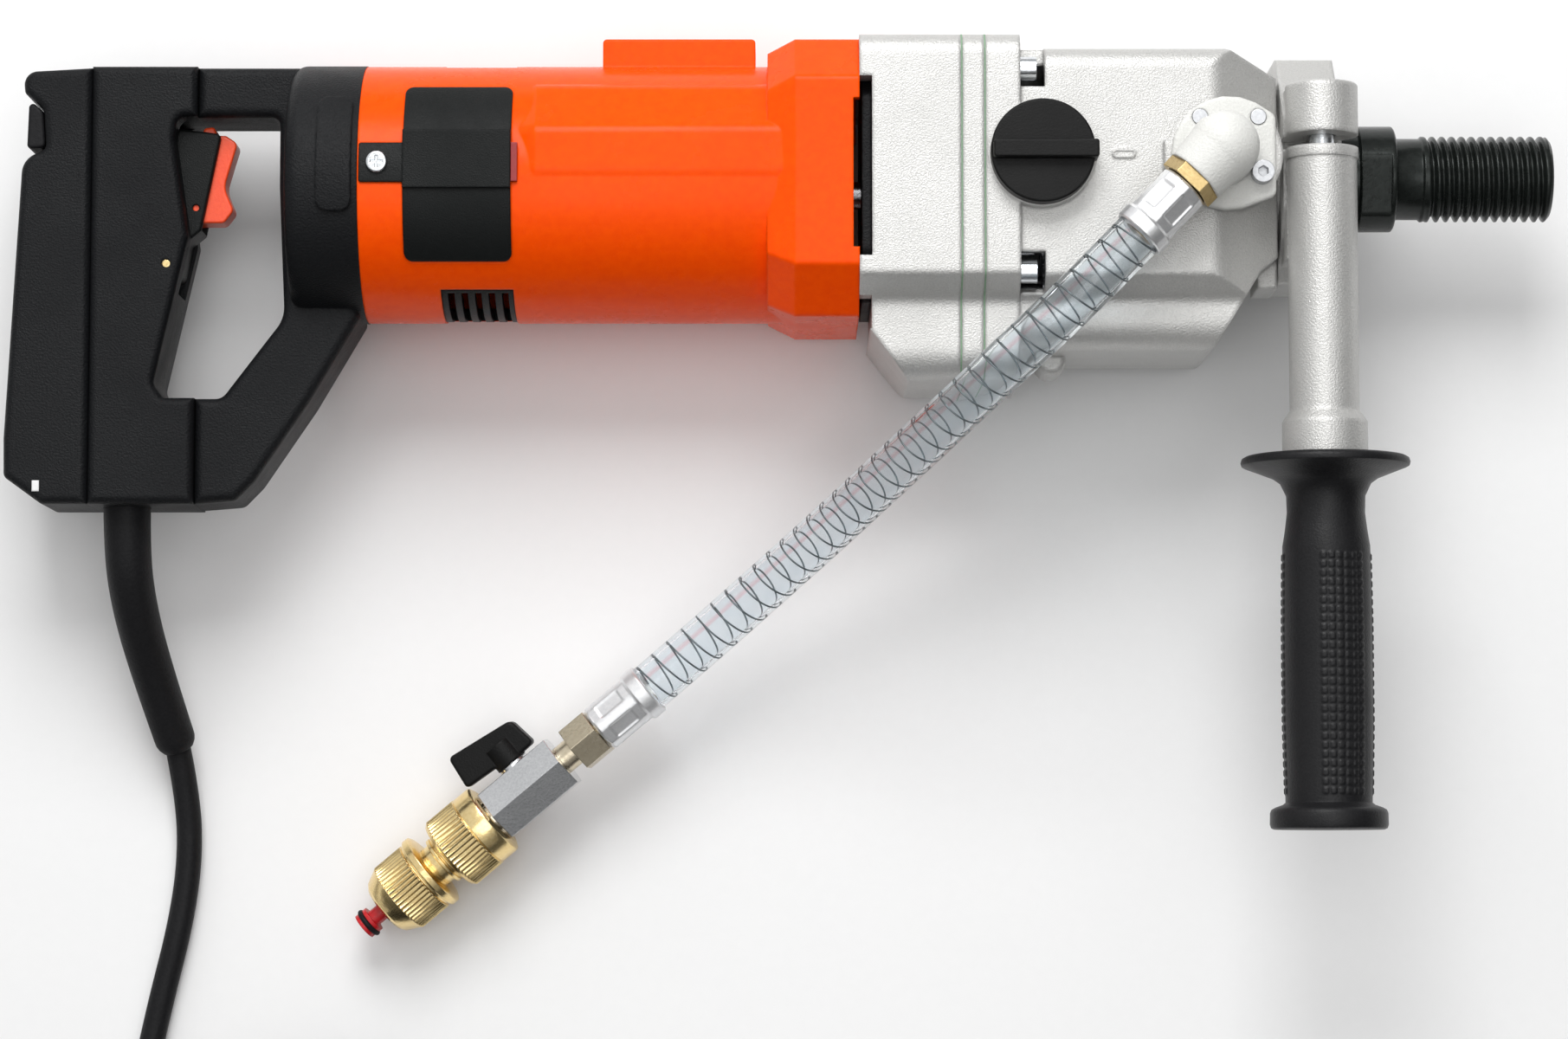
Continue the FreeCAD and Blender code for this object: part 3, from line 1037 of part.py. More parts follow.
def valve_lever():
    """Wing lever on the ball's stem; it points along the bore while the valve is open."""
    y = LEVER_FOOT
    corners = [(-11.5, y + 0.6, 1.5), (5.0, y, 0.8), (6.0, y + 2.2, 1), (18.8, y + 3.2, 1.5),
               (17.0, y + 16.4, 2), (-10.0, y + 12.4, 3)]
    wing = soften(plate_z(corners, -4.0, 4.0), 1.2, lambda p: abs(abs(p.z) - 4.0) < 1e-4)
    hub = rod_y(2 * STEM_R + 0.2, y, y + 8.6, 0, 0)
    body = fuse([wing, hub])
    return seat_lever(body.cut(rod_y(KEY_R, 0, LEVER_FOOT + KEY_LENGTH, 0, 0)))


def valve_ball():
    stem = rod_y(STEM_R, BALL_R - 2.5, LEVER_FOOT - 0.1, 0, 0)
    key = rod_y(KEY_R, LEVER_FOOT - 0.4, LEVER_FOOT + KEY_LENGTH, 0, 0)
    ball = fuse([Part.makeSphere(BALL_R, V(0, 0, 0)), stem, key])
    return seat_lever(ball.cut(rod_x(BALL_R - 2.5, -10, 10)))


def seat_lever(shape):
    """Carry a shape from X along the bore and Y along the stem to the valve."""
    up = TAIL_LIE.cross(VALVE_SIDE)
    frame = FreeCAD.Matrix(TAIL_LIE.x, VALVE_SIDE.x, up.x, STEM_CENTRE.x,
                           TAIL_LIE.y, VALVE_SIDE.y, up.y, STEM_CENTRE.y,
                           TAIL_LIE.z, VALVE_SIDE.z, up.z, STEM_CENTRE.z, 0, 0, 0, 1)
    moved = shape.copy()
    moved.Placement = FreeCAD.Placement(frame).multiply(moved.Placement)
    return moved


def coupling_union():
    """First brass ring, screwed on the valve, and the neck that the second ring snaps on."""
    ring = COUPLING + 7.5
    body = turned([(COUPLING, COUPLING_R - 2.2), (COUPLING + 1, COUPLING_R - 0.2),
                   (ring - 0.5, COUPLING_R - 0.2), (ring, COUPLING_R), (ring + 13.5, COUPLING_R),
                   (ring + 14.5, COUPLING_R - 0.8),
                   (ring + 14.5, COUPLING_NECK_R), (STOP_START, COUPLING_NECK_R)])
    body = body.cut(rod_x(VALVE_TAIL_R, COUPLING - 1, COUPLING + 3.0))
    return along(body.cut(rod_x(COUPLING_NECK_R - 3.8, COUPLING - 1, STOP_START + 1)), TAIL_START, TAIL_LIE)


def coupling_collar():
    """Knurled release collar with a coned end."""
    x0 = COLLAR_START
    r = COUPLING_R - 0.6
    body = turned([(x0, r - 2.7), (x0 + 1, r + 0.8), (x0 + 4, r + 0.8), (x0 + 4.5, r), (x0 + 17.5, r),
                   (x0 + 23, r - 2.8), (x0 + 24.5, r - 4.7)])
    return along(body.cut(rod_x(COUPLING_NECK_R + RUN_FIT, x0 - 1, x0 + 30)), TAIL_START, TAIL_LIE)


def stop_plug():
    """Red plastic nose of the water stop, with a groove for its O-ring."""
    x0 = STOP_START
    body = turned([(x0 + 0.1, 6.4), (x0 + 11.5, 6.4), (x0 + 12, 3.2), (x0 + 19, 3.2), (x0 + 19, 5.0),
                   (RING_GROOVE, 5.0), (RING_GROOVE, 5.8 - 2 * STOP_RING_R),
                   (RING_GROOVE + 2, 5.8 - 2 * STOP_RING_R), (RING_GROOVE + 2, 5.0),
                   (RING_GROOVE + 3.4, 5.0)])
    return along(body, TAIL_START, TAIL_LIE)


def stop_ring():
    ring = Part.makeTorus(5.8 - STOP_RING_R, STOP_RING_R, V(RING_GROOVE + 1, 0, 0), V(1, 0, 0))
    return along(ring, TAIL_START, TAIL_LIE)


# ---- mains lead ----------------------------------------------------------------------------------
CORD_EXIT = (-465.6, HANDLE_BOTTOM)
CORD_FLOOR = FLOOR_Z + CORD_R
SLEEVE_POINTS = [V(-465.6, HANDLE_BOTTOM + 3, 0), V(-465.6, HANDLE_BOTTOM - 16, 0), V(-463.8, -159.0, -10),
                 V(-458.5, -183.5, -25.5), V(-451.2, -208.5, -38.0)]
LEAD_POINTS = [V(-451.2, -208.5, -38.0), V(-447.8, -228.0, -43.8), V(-447.2, -251.0, CORD_FLOOR),
               V(-450.6, -275.0, CORD_FLOOR), V(-457.0, -301.0, CORD_FLOOR), V(-462.6, -327.0, CORD_FLOOR),
               V(-465.2, -352.0, CORD_FLOOR), V(-465.8, -376.0, CORD_FLOOR)]
COIL_TOP = FLOOR_Z + COIL_HEIGHT - CORD_R
TAIL_POINTS = [V(-458.8, -429.9, COIL_TOP), V(-452.0, -448.5, COIL_TOP - 0.45), V(-441.0, -466.0, -20.0),
               V(-425.5, -480.0, -25.0), V(-405.5, -487.8, -29.3), V(-384.5, -490.0, -31.0)]


def cord_sleeve():
    return route_tube(SLEEVE_POINTS, SLEEVE_R, "cord_sleeve")


def mains_lead():
    return route_tube(LEAD_POINTS, CORD_R, "mains_lead")


def lead_coil():
    """Outer shape of the wound-up part of the lead."""
    inner = COIL_MID_R - COIL_WIDTH / 2
    outer = COIL_MID_R + COIL_WIDTH / 2
    x, y = COIL_CENTRE
    body = rod_z(outer, FLOOR_Z, FLOOR_Z + COIL_HEIGHT, x, y)
    return body.cut(rod_z(inner, FLOOR_Z - 1, FLOOR_Z + COIL_HEIGHT + 1, x, y))


def lead_tail():
    return route_tube(TAIL_POINTS, CORD_R, "lead_tail")


def plug():
    """Round two-pin mains plug with earth clips, lying on its side."""
    start = TAIL_POINTS[-1]
    body = turned([(0, 6.0), (8, 7.5), (14, 13.0), (18, PLUG_R), (34, PLUG_R), (36, PLUG_R - 1)])
    pins = [rod_x(2.4, 34, 55, 0, 9.5), rod_x(2.4, 34, 55, 0, -9.5)]
    return fuse([body] + pins).translate(start)


# ---- write every node ----------------------------------------------------------------------------
os.makedirs("parts", exist_ok=True)

NODES = {
    "gear_case_rear": gear_case_rear,
    "middle_plate": middle_plate,
    "gear_case_front": gear_case_front,
    "gaskets": lambda: Part.makeCompound([gasket(REAR_JOINT), gasket(FRONT_JOINT)]),
    "case_screws": case_screws,
    "air_baffle": air_baffle,
    "spindle": spindle,
    "spindle_gears": spindle_gears,
    "block_gears": block_gears,
    "counter_wheel": counter_wheel,
    "countershaft": countershaft,
    "armature_shaft": armature_shaft,
    "armature_core": armature_core,
    "commutator": commutator,
    "cooling_fan": cooling_fan,
    "shaft_seal": shaft_seal,
    "ball_bearings": ball_bearings,
    "motor_housing": motor_housing,
    "level_vial": level_vial,
    "brush_covers": lambda: brush_pair(brush_cover),
    "brush_cover_screws": lambda: brush_pair(cover_screw),
    "cover_clips": lambda: brush_pair(cover_clip),
    "vent_grilles": lambda: Part.makeCompound([grille(*opening) for opening in VENTS]),
    "stator_core": stator_core,
    "field_coils": field_coils,
    "brush_holders": lambda: brush_pair(brush_holder),
    "carbon_brushes": lambda: brush_pair(carbon_brush),
    "bearing_bridge": bearing_bridge,
    "handle_frame": handle_frame,
    "indicator": indicator,
    "grip_shell": grip_shell,
    "grip_rear_cover": grip_rear_cover,
    "grip_bumper": grip_bumper,
    "cover_lug": cover_lug,
    "paddle": paddle,
    "trigger": trigger,
    "paddle_pin": paddle_pin,
    "switch_body": switch_body,
    "selector_knob": selector_knob,
    "handle_clamp": handle_clamp,
    "tie_rod": tie_rod,
    "side_grip": side_grip,
    "water_cap": water_cap,
    "water_screws": water_screws,
    "feed_fitting": feed_fitting,
    "hose_ferrules": hose_ferrules,
    "water_hose": water_hose,
    "swivel_nut": swivel_nut,
    "valve_body": valve_body,
    "valve_lever": valve_lever,
    "valve_ball": valve_ball,
    "coupling_union": coupling_union,
    "coupling_collar": coupling_collar,
    "stop_plug": stop_plug,
    "stop_ring": stop_ring,
    "cord_sleeve": cord_sleeve,
    "mains_lead": mains_lead,
    "lead_coil": lead_coil,
    "lead_tail": lead_tail,
    "plug": plug,
}

for name, make in NODES.items():
    shape = make()
    shape.exportStep("parts/" + name + ".step")
    solids = len(shape.Solids)
    if not shape.isValid() or solids == 0:
        print("CHECK", name, "valid", shape.isValid(), "solids", solids)
    elif solids > 1:
        print(name, "solids", solids)
print(len(NODES), "nodes")
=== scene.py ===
# %% [markdown]
# # A hand-held wet core drill
# The drill lies on its flank on a pale studio table. The solid model gives every hard piece its
# place. Here it gets its finishes, and the pieces that a solid modeller keeps plain get their
# real surfaces: the spindle's thread, the knurled brass rings, the dimpled side grip, the clear
# hose with its steel spiral, and the mains lead.

# %% Load the frame
import bpy
import math
import numpy as np
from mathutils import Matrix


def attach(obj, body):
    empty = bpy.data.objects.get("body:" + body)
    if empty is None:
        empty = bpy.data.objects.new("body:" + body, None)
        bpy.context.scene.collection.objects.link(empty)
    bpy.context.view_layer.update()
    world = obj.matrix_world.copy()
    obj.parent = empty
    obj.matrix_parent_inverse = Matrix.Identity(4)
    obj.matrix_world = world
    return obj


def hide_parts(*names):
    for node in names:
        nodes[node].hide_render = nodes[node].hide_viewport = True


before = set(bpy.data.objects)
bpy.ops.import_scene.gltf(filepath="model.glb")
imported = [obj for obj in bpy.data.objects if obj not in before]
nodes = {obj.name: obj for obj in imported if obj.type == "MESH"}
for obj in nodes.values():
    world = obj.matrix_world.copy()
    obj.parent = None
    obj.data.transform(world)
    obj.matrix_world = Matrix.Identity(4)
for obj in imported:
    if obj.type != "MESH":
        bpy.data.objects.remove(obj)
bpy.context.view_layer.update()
MM = 0.001
FLOOR_Z = -0.050

# %% [markdown]
# ## Camera, table and light
# A long lens far away keeps the drill almost flat, as in a catalogue plate. The camera looks
# down at the lying drill, tipped by five degrees, with +Y at the top of the view. The studio is
# bright overhead and towards its far left wall, and dim elsewhere, which gives plated metal its
# dark streaks.

# %% Camera
CAMERA_PLACE = (-0.2245, -0.2646, 1.583)
CAMERA_TIP = 5.0
LENS = 99.4

camera_data = bpy.data.cameras.new("catalogue_camera")
camera_data.lens = LENS
camera_data.sensor_width = 36.0
camera_data.clip_end = 20.0
camera = bpy.data.objects.new("catalogue_camera", camera_data)
camera.location = CAMERA_PLACE
camera.rotation_euler = (math.radians(CAMERA_TIP), 0, 0)
bpy.context.scene.collection.objects.link(camera)
bpy.context.scene.camera = camera
bpy.context.scene.view_settings.view_transform = "Standard"


# %% Table and lights
def area_light(name, place, target, size, power):
    """A square soft box at place that faces target."""
    data = bpy.data.lights.new(name, "AREA")
    data.size = size
    data.energy = power
    lamp = bpy.data.objects.new(name, data)
    lamp.location = place
    aim = np.array(target) - np.array(place)
    yaw = math.atan2(aim[1], aim[0])
    dip = math.atan2(aim[2], math.hypot(aim[0], aim[1]))
    lamp.rotation_euler = (math.pi / 2 + dip, 0, yaw - math.pi / 2)
    bpy.context.scene.collection.objects.link(lamp)


def plain_mesh(name, points, faces):
    """A mesh object from points and faces, placed in the scene."""
    mesh = bpy.data.meshes.new(name)
    mesh.from_pydata(points, [], faces)
    piece = bpy.data.objects.new(name, mesh)
    bpy.context.scene.collection.objects.link(piece)
    return piece


MIDDLE = (-0.22, -0.06, 0.0)
TABLE_HALF = 4
# The sky's brightness is a smooth step of the dot product of a direction with BRIGHT_SIDE.
BRIGHT_SIDE = (-0.35, 0.42, 1.0)
SKY_DIM_BELOW = 0.25
SKY_BRIGHT_ABOVE = 0.85
SKY_DIM = 0.10
SKY_STRENGTH = 0.74
area_light("key_box", (-0.35, 1.05, 1.25), MIDDLE, 0.9, 21.0)
area_light("top_box", (-0.1, -0.15, 1.9), MIDDLE, 1.2, 7.5)
area_light("fill_box", (0.2, -1.3, 1.1), MIDDLE, 0.9, 0.5)

table_corners = [(x * TABLE_HALF, y * TABLE_HALF, FLOOR_Z)
                 for x, y in ((-1, -1), (1, -1), (1, 1), (-1, 1))]
table = plain_mesh("table", table_corners, [(0, 1, 2, 3)])

world = bpy.data.worlds.new("studio")
world.use_nodes = True
sky = world.node_tree
lean = sky.nodes.new("ShaderNodeVectorMath")
lean.operation = "DOT_PRODUCT"
lean.inputs[1].default_value = BRIGHT_SIDE
sky.links.new(sky.nodes.new("ShaderNodeTexCoord").outputs["Generated"], lean.inputs[0])
ceiling = sky.nodes.new("ShaderNodeMapRange")
ceiling.interpolation_type = "SMOOTHSTEP"
ceiling.inputs["From Min"].default_value = SKY_DIM_BELOW
ceiling.inputs["From Max"].default_value = SKY_BRIGHT_ABOVE
ceiling.inputs["To Min"].default_value = SKY_DIM
sky.links.new(lean.outputs["Value"], ceiling.inputs["Value"])
sky.links.new(ceiling.outputs["Result"], sky.nodes["Background"].inputs["Color"])
sky.nodes["Background"].inputs["Strength"].default_value = SKY_STRENGTH
bpy.context.scene.world = world

# %% [markdown]
# ## Surfaces from two parameters
# Most turned and moulded pieces are one grid of points: one parameter runs along the piece and
# the other round it. A profile of (distance, radius) pairs gives the first, a full circle the
# second. A small function may then press a pattern into the radius.


# %% Grid and turned surfaces
def grid_piece(name, points, ends=None):
    """A closed skin over points[i, j]: j runs round and closes; each end is fanned to its middle.

    points has shape (rows, columns, 3) and ends is the pair of middle points of the two end caps.
    Without ends the last row joins the first one, as in a ring.
    """
    rows, columns, _ = points.shape
    index = np.arange(rows * columns).reshape(rows, columns)
    beside = np.roll(index, -1, axis=1)
    behind = np.roll(index, -1, axis=0)
    quads = np.stack([index, beside, np.roll(behind, -1, axis=1), behind], axis=-1)
    vertices = points.reshape(-1, 3)
    fans = []
    if ends is not None:
        quads = quads[:-1]
        first = rows * columns
        start_fan = np.stack([np.full(columns, first), beside[0], index[0]], axis=-1)
        end_fan = np.stack([np.full(columns, first + 1), index[-1], beside[-1]], axis=-1)
        vertices = np.concatenate([vertices, np.array(ends)])
        fans = start_fan.tolist() + end_fan.tolist()
    quads = quads.reshape(-1, 4)
    corners = vertices[quads] - vertices.mean(axis=0)
    volume = np.einsum("ij,ij->i", corners[:, 0], np.cross(corners[:, 1], corners[:, 2]))
    volume += np.einsum("ij,ij->i", corners[:, 0], np.cross(corners[:, 2], corners[:, 3]))
    faces = quads.tolist() + fans
    if volume.sum() < 0:
        faces = [face[::-1] for face in faces]
    mesh = bpy.data.meshes.new(name)
    mesh.from_pydata(vertices, [], faces)
    mesh.validate()
    piece = bpy.data.objects.new(name, mesh)
    bpy.context.scene.collection.objects.link(piece)
    return piece


def shade_smooth(piece, angle):
    """Smooth shading that keeps edges sharper than angle, by marking them on the mesh."""
    mesh = piece.data
    mesh.shade_smooth()
    mesh.set_sharp_from_angle(angle=math.radians(angle))
    return piece


def axes_for(direction):
    """Unit vectors (along, side, up) for a direction, with up as near +Z as it can be."""
    along = np.array(direction, float)
    along /= np.linalg.norm(along)
    side = np.cross((0.0, 0.0, 1.0), along)
    side /= np.linalg.norm(side)
    return along, side, np.cross(along, side)


def turned_piece(name, profile, start, direction, segments, press, bored=False):
    """Turn (distance, radius) pairs, in millimetres, round a line; a bored one is a closed ring.

    point = start + distance * along + radius * (cos(angle) * side + sin(angle) * up), and press
    gives a new radius from distance, angle and radius.
    """
    profile = np.array(profile, float)
    distance, radius = profile[:, :1], profile[:, 1:]
    angle = np.linspace(0, 2 * np.pi, segments, endpoint=False)[None, :]
    radius = np.broadcast_to(radius, (len(profile), segments))
    radius = press(np.broadcast_to(distance, radius.shape), np.broadcast_to(angle, radius.shape),
                   radius)
    along, side, up = axes_for(direction)
    start = np.array(start, float)
    points = start + distance[..., None] * along + radius[..., None] * (
        np.cos(angle)[..., None] * side + np.sin(angle)[..., None] * up)
    ends = [start + profile[0, 0] * along, start + profile[-1, 0] * along]
    piece = grid_piece(name, points * MM, None if bored else np.array(ends) * MM)
    print(name, len(piece.data.polygons), "faces")
    return piece


def ribs(angle, count, depth):
    """depth * |sin(count * angle / 2)|: how far a straight knurl cuts in."""
    return depth * np.sqrt(0.5 - 0.5 * np.cos(count * angle))


def across_flats(angle, half, sides, first):
    """Radius of a regular polygon: half / cos(angle to the nearest flat's middle)."""
    step = 2 * np.pi / sides
    off = (angle - math.radians(first) + step / 2) % step - step / 2
    return half / np.cos(off)


def smooth_step(value, low, high):
    """0 below low, 1 above high, and 3 s^2 - 2 s^3 between them."""
    share = np.clip((value - low) / (high - low), 0, 1)
    return share * share * (3 - 2 * share)


# %% [markdown]
# ## Paint boxes shared by the finishes
# Three effects come back in most finishes, so each is a node group: grain, which gives a fine
# height and a slow change of shade; worn edges, which finds convex edges with a bevelled
# normal; and smudges, the greasy patches that a working tool picks up.


# %% Node group helpers
def new_group(name, inputs, outputs):
    """An empty shader node group with its sockets, and its input and output nodes."""
    tree = bpy.data.node_groups.new(name, "ShaderNodeTree")
    for label, kind, value in inputs:
        tree.interface.new_socket(name=label, in_out="INPUT", socket_type=kind).default_value = value
    for label, kind in outputs:
        tree.interface.new_socket(name=label, in_out="OUTPUT", socket_type=kind)
    return tree, tree.nodes.new("NodeGroupInput"), tree.nodes.new("NodeGroupOutput")


def math_node(tree, operation, first, second=None, clamp=False):
    """A Math node whose inputs are sockets or numbers; returns its output."""
    node = tree.nodes.new("ShaderNodeMath")
    node.operation = operation
    node.use_clamp = clamp
    for socket, value in zip(node.inputs, (first, second)):
        if value is None:
            continue
        if isinstance(value, (int, float)):
            socket.default_value = value
        else:
            tree.links.new(value, socket)
    return node.outputs[0]


def noise_node(tree, vector, scale, detail, roughness):
    """Fractal noise on a vector; scale is a number or a socket."""
    node = tree.nodes.new("ShaderNodeTexNoise")
    node.inputs["Detail"].default_value = detail
    node.inputs["Roughness"].default_value = roughness
    if isinstance(scale, (int, float)):
        node.inputs["Scale"].default_value = scale
    else:
        tree.links.new(scale, node.inputs["Scale"])
    tree.links.new(vector, node.inputs["Vector"])
    return node.outputs["Fac"]


def spread_node(tree, value, low, high):
    """Map low..high to 0..1, held at the ends."""
    node = tree.nodes.new("ShaderNodeMapRange")
    node.inputs["From Min"].default_value = low
    node.inputs["From Max"].default_value = high
    tree.links.new(value, node.inputs["Value"])
    return node.outputs["Result"]


# %% Grain group
def build_grain():
    """Height is a fine speckle; Shade blends it with a slow change."""
    tree, feed, out = new_group("Grain", [("Scale", "NodeSocketFloat", 900.0),
                                          ("Patch", "NodeSocketFloat", 14.0)],
                                [("Height", "NodeSocketFloat"), ("Shade", "NodeSocketFloat")])
    place = tree.nodes.new("ShaderNodeTexCoord").outputs["Object"]
    fine = noise_node(tree, place, feed.outputs["Scale"], 2.0, 0.6)
    slow = noise_node(tree, place, feed.outputs["Patch"], 4.0, 0.6)
    speck = spread_node(tree, fine, 0.3, 0.7)
    blend = math_node(tree, "ADD", math_node(tree, "MULTIPLY", speck, 0.45),
                      math_node(tree, "MULTIPLY", slow, 0.55))
    tree.links.new(speck, out.inputs["Height"])
    tree.links.new(blend, out.inputs["Shade"])
    return tree


GRAIN = build_grain()


# %% Worn edge group
def build_edges():
    """Mask is where a bevelled normal leaves the real one and noise lets it chip."""
    inputs = [("Radius", "NodeSocketFloat", 0.0012), ("Amount", "NodeSocketFloat", 1.0)]
    outputs = [("Mask", "NodeSocketFloat"), ("Normal", "NodeSocketVector")]
    tree, feed, out = new_group("Worn edges", inputs, outputs)
    bevel = tree.nodes.new("ShaderNodeBevel")
    bevel.samples = 6
    tree.links.new(feed.outputs["Radius"], bevel.inputs["Radius"])
    shape = tree.nodes.new("ShaderNodeNewGeometry")
    match = tree.nodes.new("ShaderNodeVectorMath")
    match.operation = "DOT_PRODUCT"
    tree.links.new(bevel.outputs["Normal"], match.inputs[0])
    tree.links.new(shape.outputs["Normal"], match.inputs[1])
    edge = spread_node(tree, math_node(tree, "SUBTRACT", 1.0, match.outputs["Value"]), 0.015, 0.16)
    place = tree.nodes.new("ShaderNodeTexCoord").outputs["Object"]
    chips = spread_node(tree, noise_node(tree, place, 260.0, 5.0, 0.7), 0.42, 0.62)
    worn = math_node(tree, "MULTIPLY", math_node(tree, "MULTIPLY", edge, chips),
                     feed.outputs["Amount"], clamp=True)
    tree.links.new(worn, out.inputs["Mask"])
    tree.links.new(bevel.outputs["Normal"], out.inputs["Normal"])
    return tree


EDGES = build_edges()


# %% Smudge group
def build_smudges():
    """Mask is a few soft patches of noise."""
    tree, feed, out = new_group("Smudges", [("Scale", "NodeSocketFloat", 22.0),
                                            ("Amount", "NodeSocketFloat", 0.3)],
                                [("Mask", "NodeSocketFloat")])
    place = tree.nodes.new("ShaderNodeTexCoord").outputs["Object"]
    patch = spread_node(tree, noise_node(tree, place, feed.outputs["Scale"], 6.0, 0.65), 0.45, 0.75)
    tree.links.new(math_node(tree, "MULTIPLY", patch, feed.outputs["Amount"], clamp=True),
                   out.inputs["Mask"])
    return tree


SMUDGES = build_smudges()


# %% Finish builder
def mix_color(tree, factor, first, second):
    """Blend two colours by a factor socket; each is a socket or an (r, g, b) triple.

    The Mix node has sockets of one name for each kind of value, so its colours go by number.
    """
    node = tree.nodes.new("ShaderNodeMix")
    node.data_type = "RGBA"
    tree.links.new(factor, node.inputs["Factor"])
    for socket, value in ((node.inputs[6], first), (node.inputs[7], second)):
        if isinstance(value, tuple):
            socket.default_value = (*value, 1.0)
        else:
            tree.links.new(value, socket)
    return node.outputs[2]


def place_group(tree, group, **values):
    """Put a node group into a tree with some of its inputs set."""
    node = tree.nodes.new("ShaderNodeGroup")
    node.node_tree = group
    for label, value in values.items():
        node.inputs[label].default_value = value
    return node


def finish(name, light, dark, rough, grain=900.0, patch=14.0, depth=0.05, edge=0.0010, worn=0.0,
           worn_color=(0.6, 0.6, 0.6), smudge=0.25, metal=0.0, specular=0.5):
    """One finish: two shades blended by grain, worn edges, smudged gloss and a fine relief.

    rough is the pair of roughness values that the smudges blend between.
    """
    material = bpy.data.materials.new(name)
    material.use_nodes = True
    tree = material.node_tree
    shader = tree.nodes["Principled BSDF"]
    shader.inputs["Metallic"].default_value = metal
    shader.inputs["Specular IOR Level"].default_value = specular
    grains = place_group(tree, GRAIN, Scale=grain, Patch=patch)
    edges = place_group(tree, EDGES, Radius=edge, Amount=worn)
    smudges = place_group(tree, SMUDGES, Amount=1.0)
    base = mix_color(tree, grains.outputs["Shade"], dark, light)
    dirty = mix_color(tree, math_node(tree, "MULTIPLY", smudges.outputs["Mask"], smudge), base, dark)
    color = mix_color(tree, edges.outputs["Mask"], dirty, worn_color)
    tree.links.new(color, shader.inputs["Base Color"])
    dulled = math_node(tree, "MULTIPLY", smudges.outputs["Mask"], rough[1] - rough[0])
    gloss = math_node(tree, "ADD", rough[0], dulled)
    tree.links.new(gloss, shader.inputs["Roughness"])
    bump = tree.nodes.new("ShaderNodeBump")
    bump.inputs["Strength"].default_value = 1.0
    bump.inputs["Distance"].default_value = depth * MM
    tree.links.new(grains.outputs["Height"], bump.inputs["Height"])
    tree.links.new(edges.outputs["Normal"], bump.inputs["Normal"])
    tree.links.new(bump.outputs["Normal"], shader.inputs["Normal"])
    return material


def paint(material, *names):
    """Give CAD nodes a finish."""
    for name in names:
        for place in nodes[name].material_slots:
            place.material = material


def coat(piece, material):
    """Give a new piece its finish."""
    piece.data.materials.append(material)
    return piece


# %% [markdown]
# ## Finishes
# Bead-blasted aluminium is a bright metal broken up by a fine grain. The black mouldings differ
# mostly in how coarse their texture is. The orange is a glossy two-pack paint with a faint
# orange peel. Brass and chrome are nearly clean, with turning marks left to the geometry.

# %% Metals
blasted = finish("blasted_aluminium", (0.64, 0.632, 0.612), (0.45, 0.45, 0.44), (0.36, 0.50), 1500.0,
                 9.0, 0.10, 0.0022, 0.25, (0.88, 0.88, 0.87), 0.12, metal=0.5)
turned_steel = finish("turned_steel", (0.66, 0.66, 0.68), (0.5, 0.5, 0.52), (0.22, 0.4), 700.0, 20.0,
                      0.02, metal=1.0)
black_oxide = finish("black_oxide", (0.024, 0.028, 0.026), (0.007, 0.009, 0.008), (0.22, 0.38), 500.0,
                     30.0, 0.02, 0.0005, 0.5, (0.10, 0.11, 0.105), 0.35, metal=0.5, specular=0.35)
zinc = finish("zinc_plate", (0.8, 0.82, 0.84), (0.6, 0.63, 0.66), (0.2, 0.36), 800.0, 60.0, 0.015,
              0.0004, metal=1.0)
chrome = finish("chrome_plate", (0.82, 0.83, 0.84), (0.55, 0.56, 0.58), (0.10, 0.26), 1100.0, 40.0,
                0.02, 0.0006, metal=1.0)
nickel_brass = finish("nickel_brass", (0.80, 0.72, 0.56), (0.58, 0.50, 0.36), (0.2, 0.36), 700.0, 50.0,
                      0.02, 0.0005, 0.3, (0.92, 0.86, 0.72), 0.3, metal=1.0)
crimped = finish("crimped_sleeve", (0.90, 0.90, 0.90), (0.72, 0.73, 0.75), (0.3, 0.45), 900.0, 50.0,
                 0.02, 0.0005, metal=0.8)
brass = finish("turned_brass", (0.96, 0.78, 0.42), (0.80, 0.58, 0.25), (0.2, 0.36), 700.0, 40.0, 0.015,
               0.0005, 0.4, (1.0, 0.88, 0.6), 0.3, metal=1.0)
aged_brass = finish("aged_brass", (0.62, 0.48, 0.24), (0.40, 0.28, 0.12), (0.24, 0.4), 700.0, 50.0,
                    0.02, 0.0005, 0.3, (0.85, 0.72, 0.45), 0.3, metal=1.0)
# Zinc for the water cap screws, which sit in recessed holes: it is rougher, and its darker colour is
# painted shade from those holes.
dull_zinc_painted_shade = finish("dull_zinc_painted_shade", (0.60, 0.61, 0.62), (0.38, 0.39, 0.41), (0.32, 0.5), 800.0, 80.0, 0.02,
                   0.0004, metal=1.0)
spring_steel = finish("spring_steel", (0.20, 0.24, 0.25), (0.10, 0.12, 0.13), (0.3, 0.45), 800.0, 60.0,
                      0.01, 0.0002, metal=0.6)
copper = finish("bare_copper", (0.8, 0.42, 0.26), (0.55, 0.26, 0.15), (0.3, 0.45), 600.0, 50.0, 0.02,
                metal=1.0)

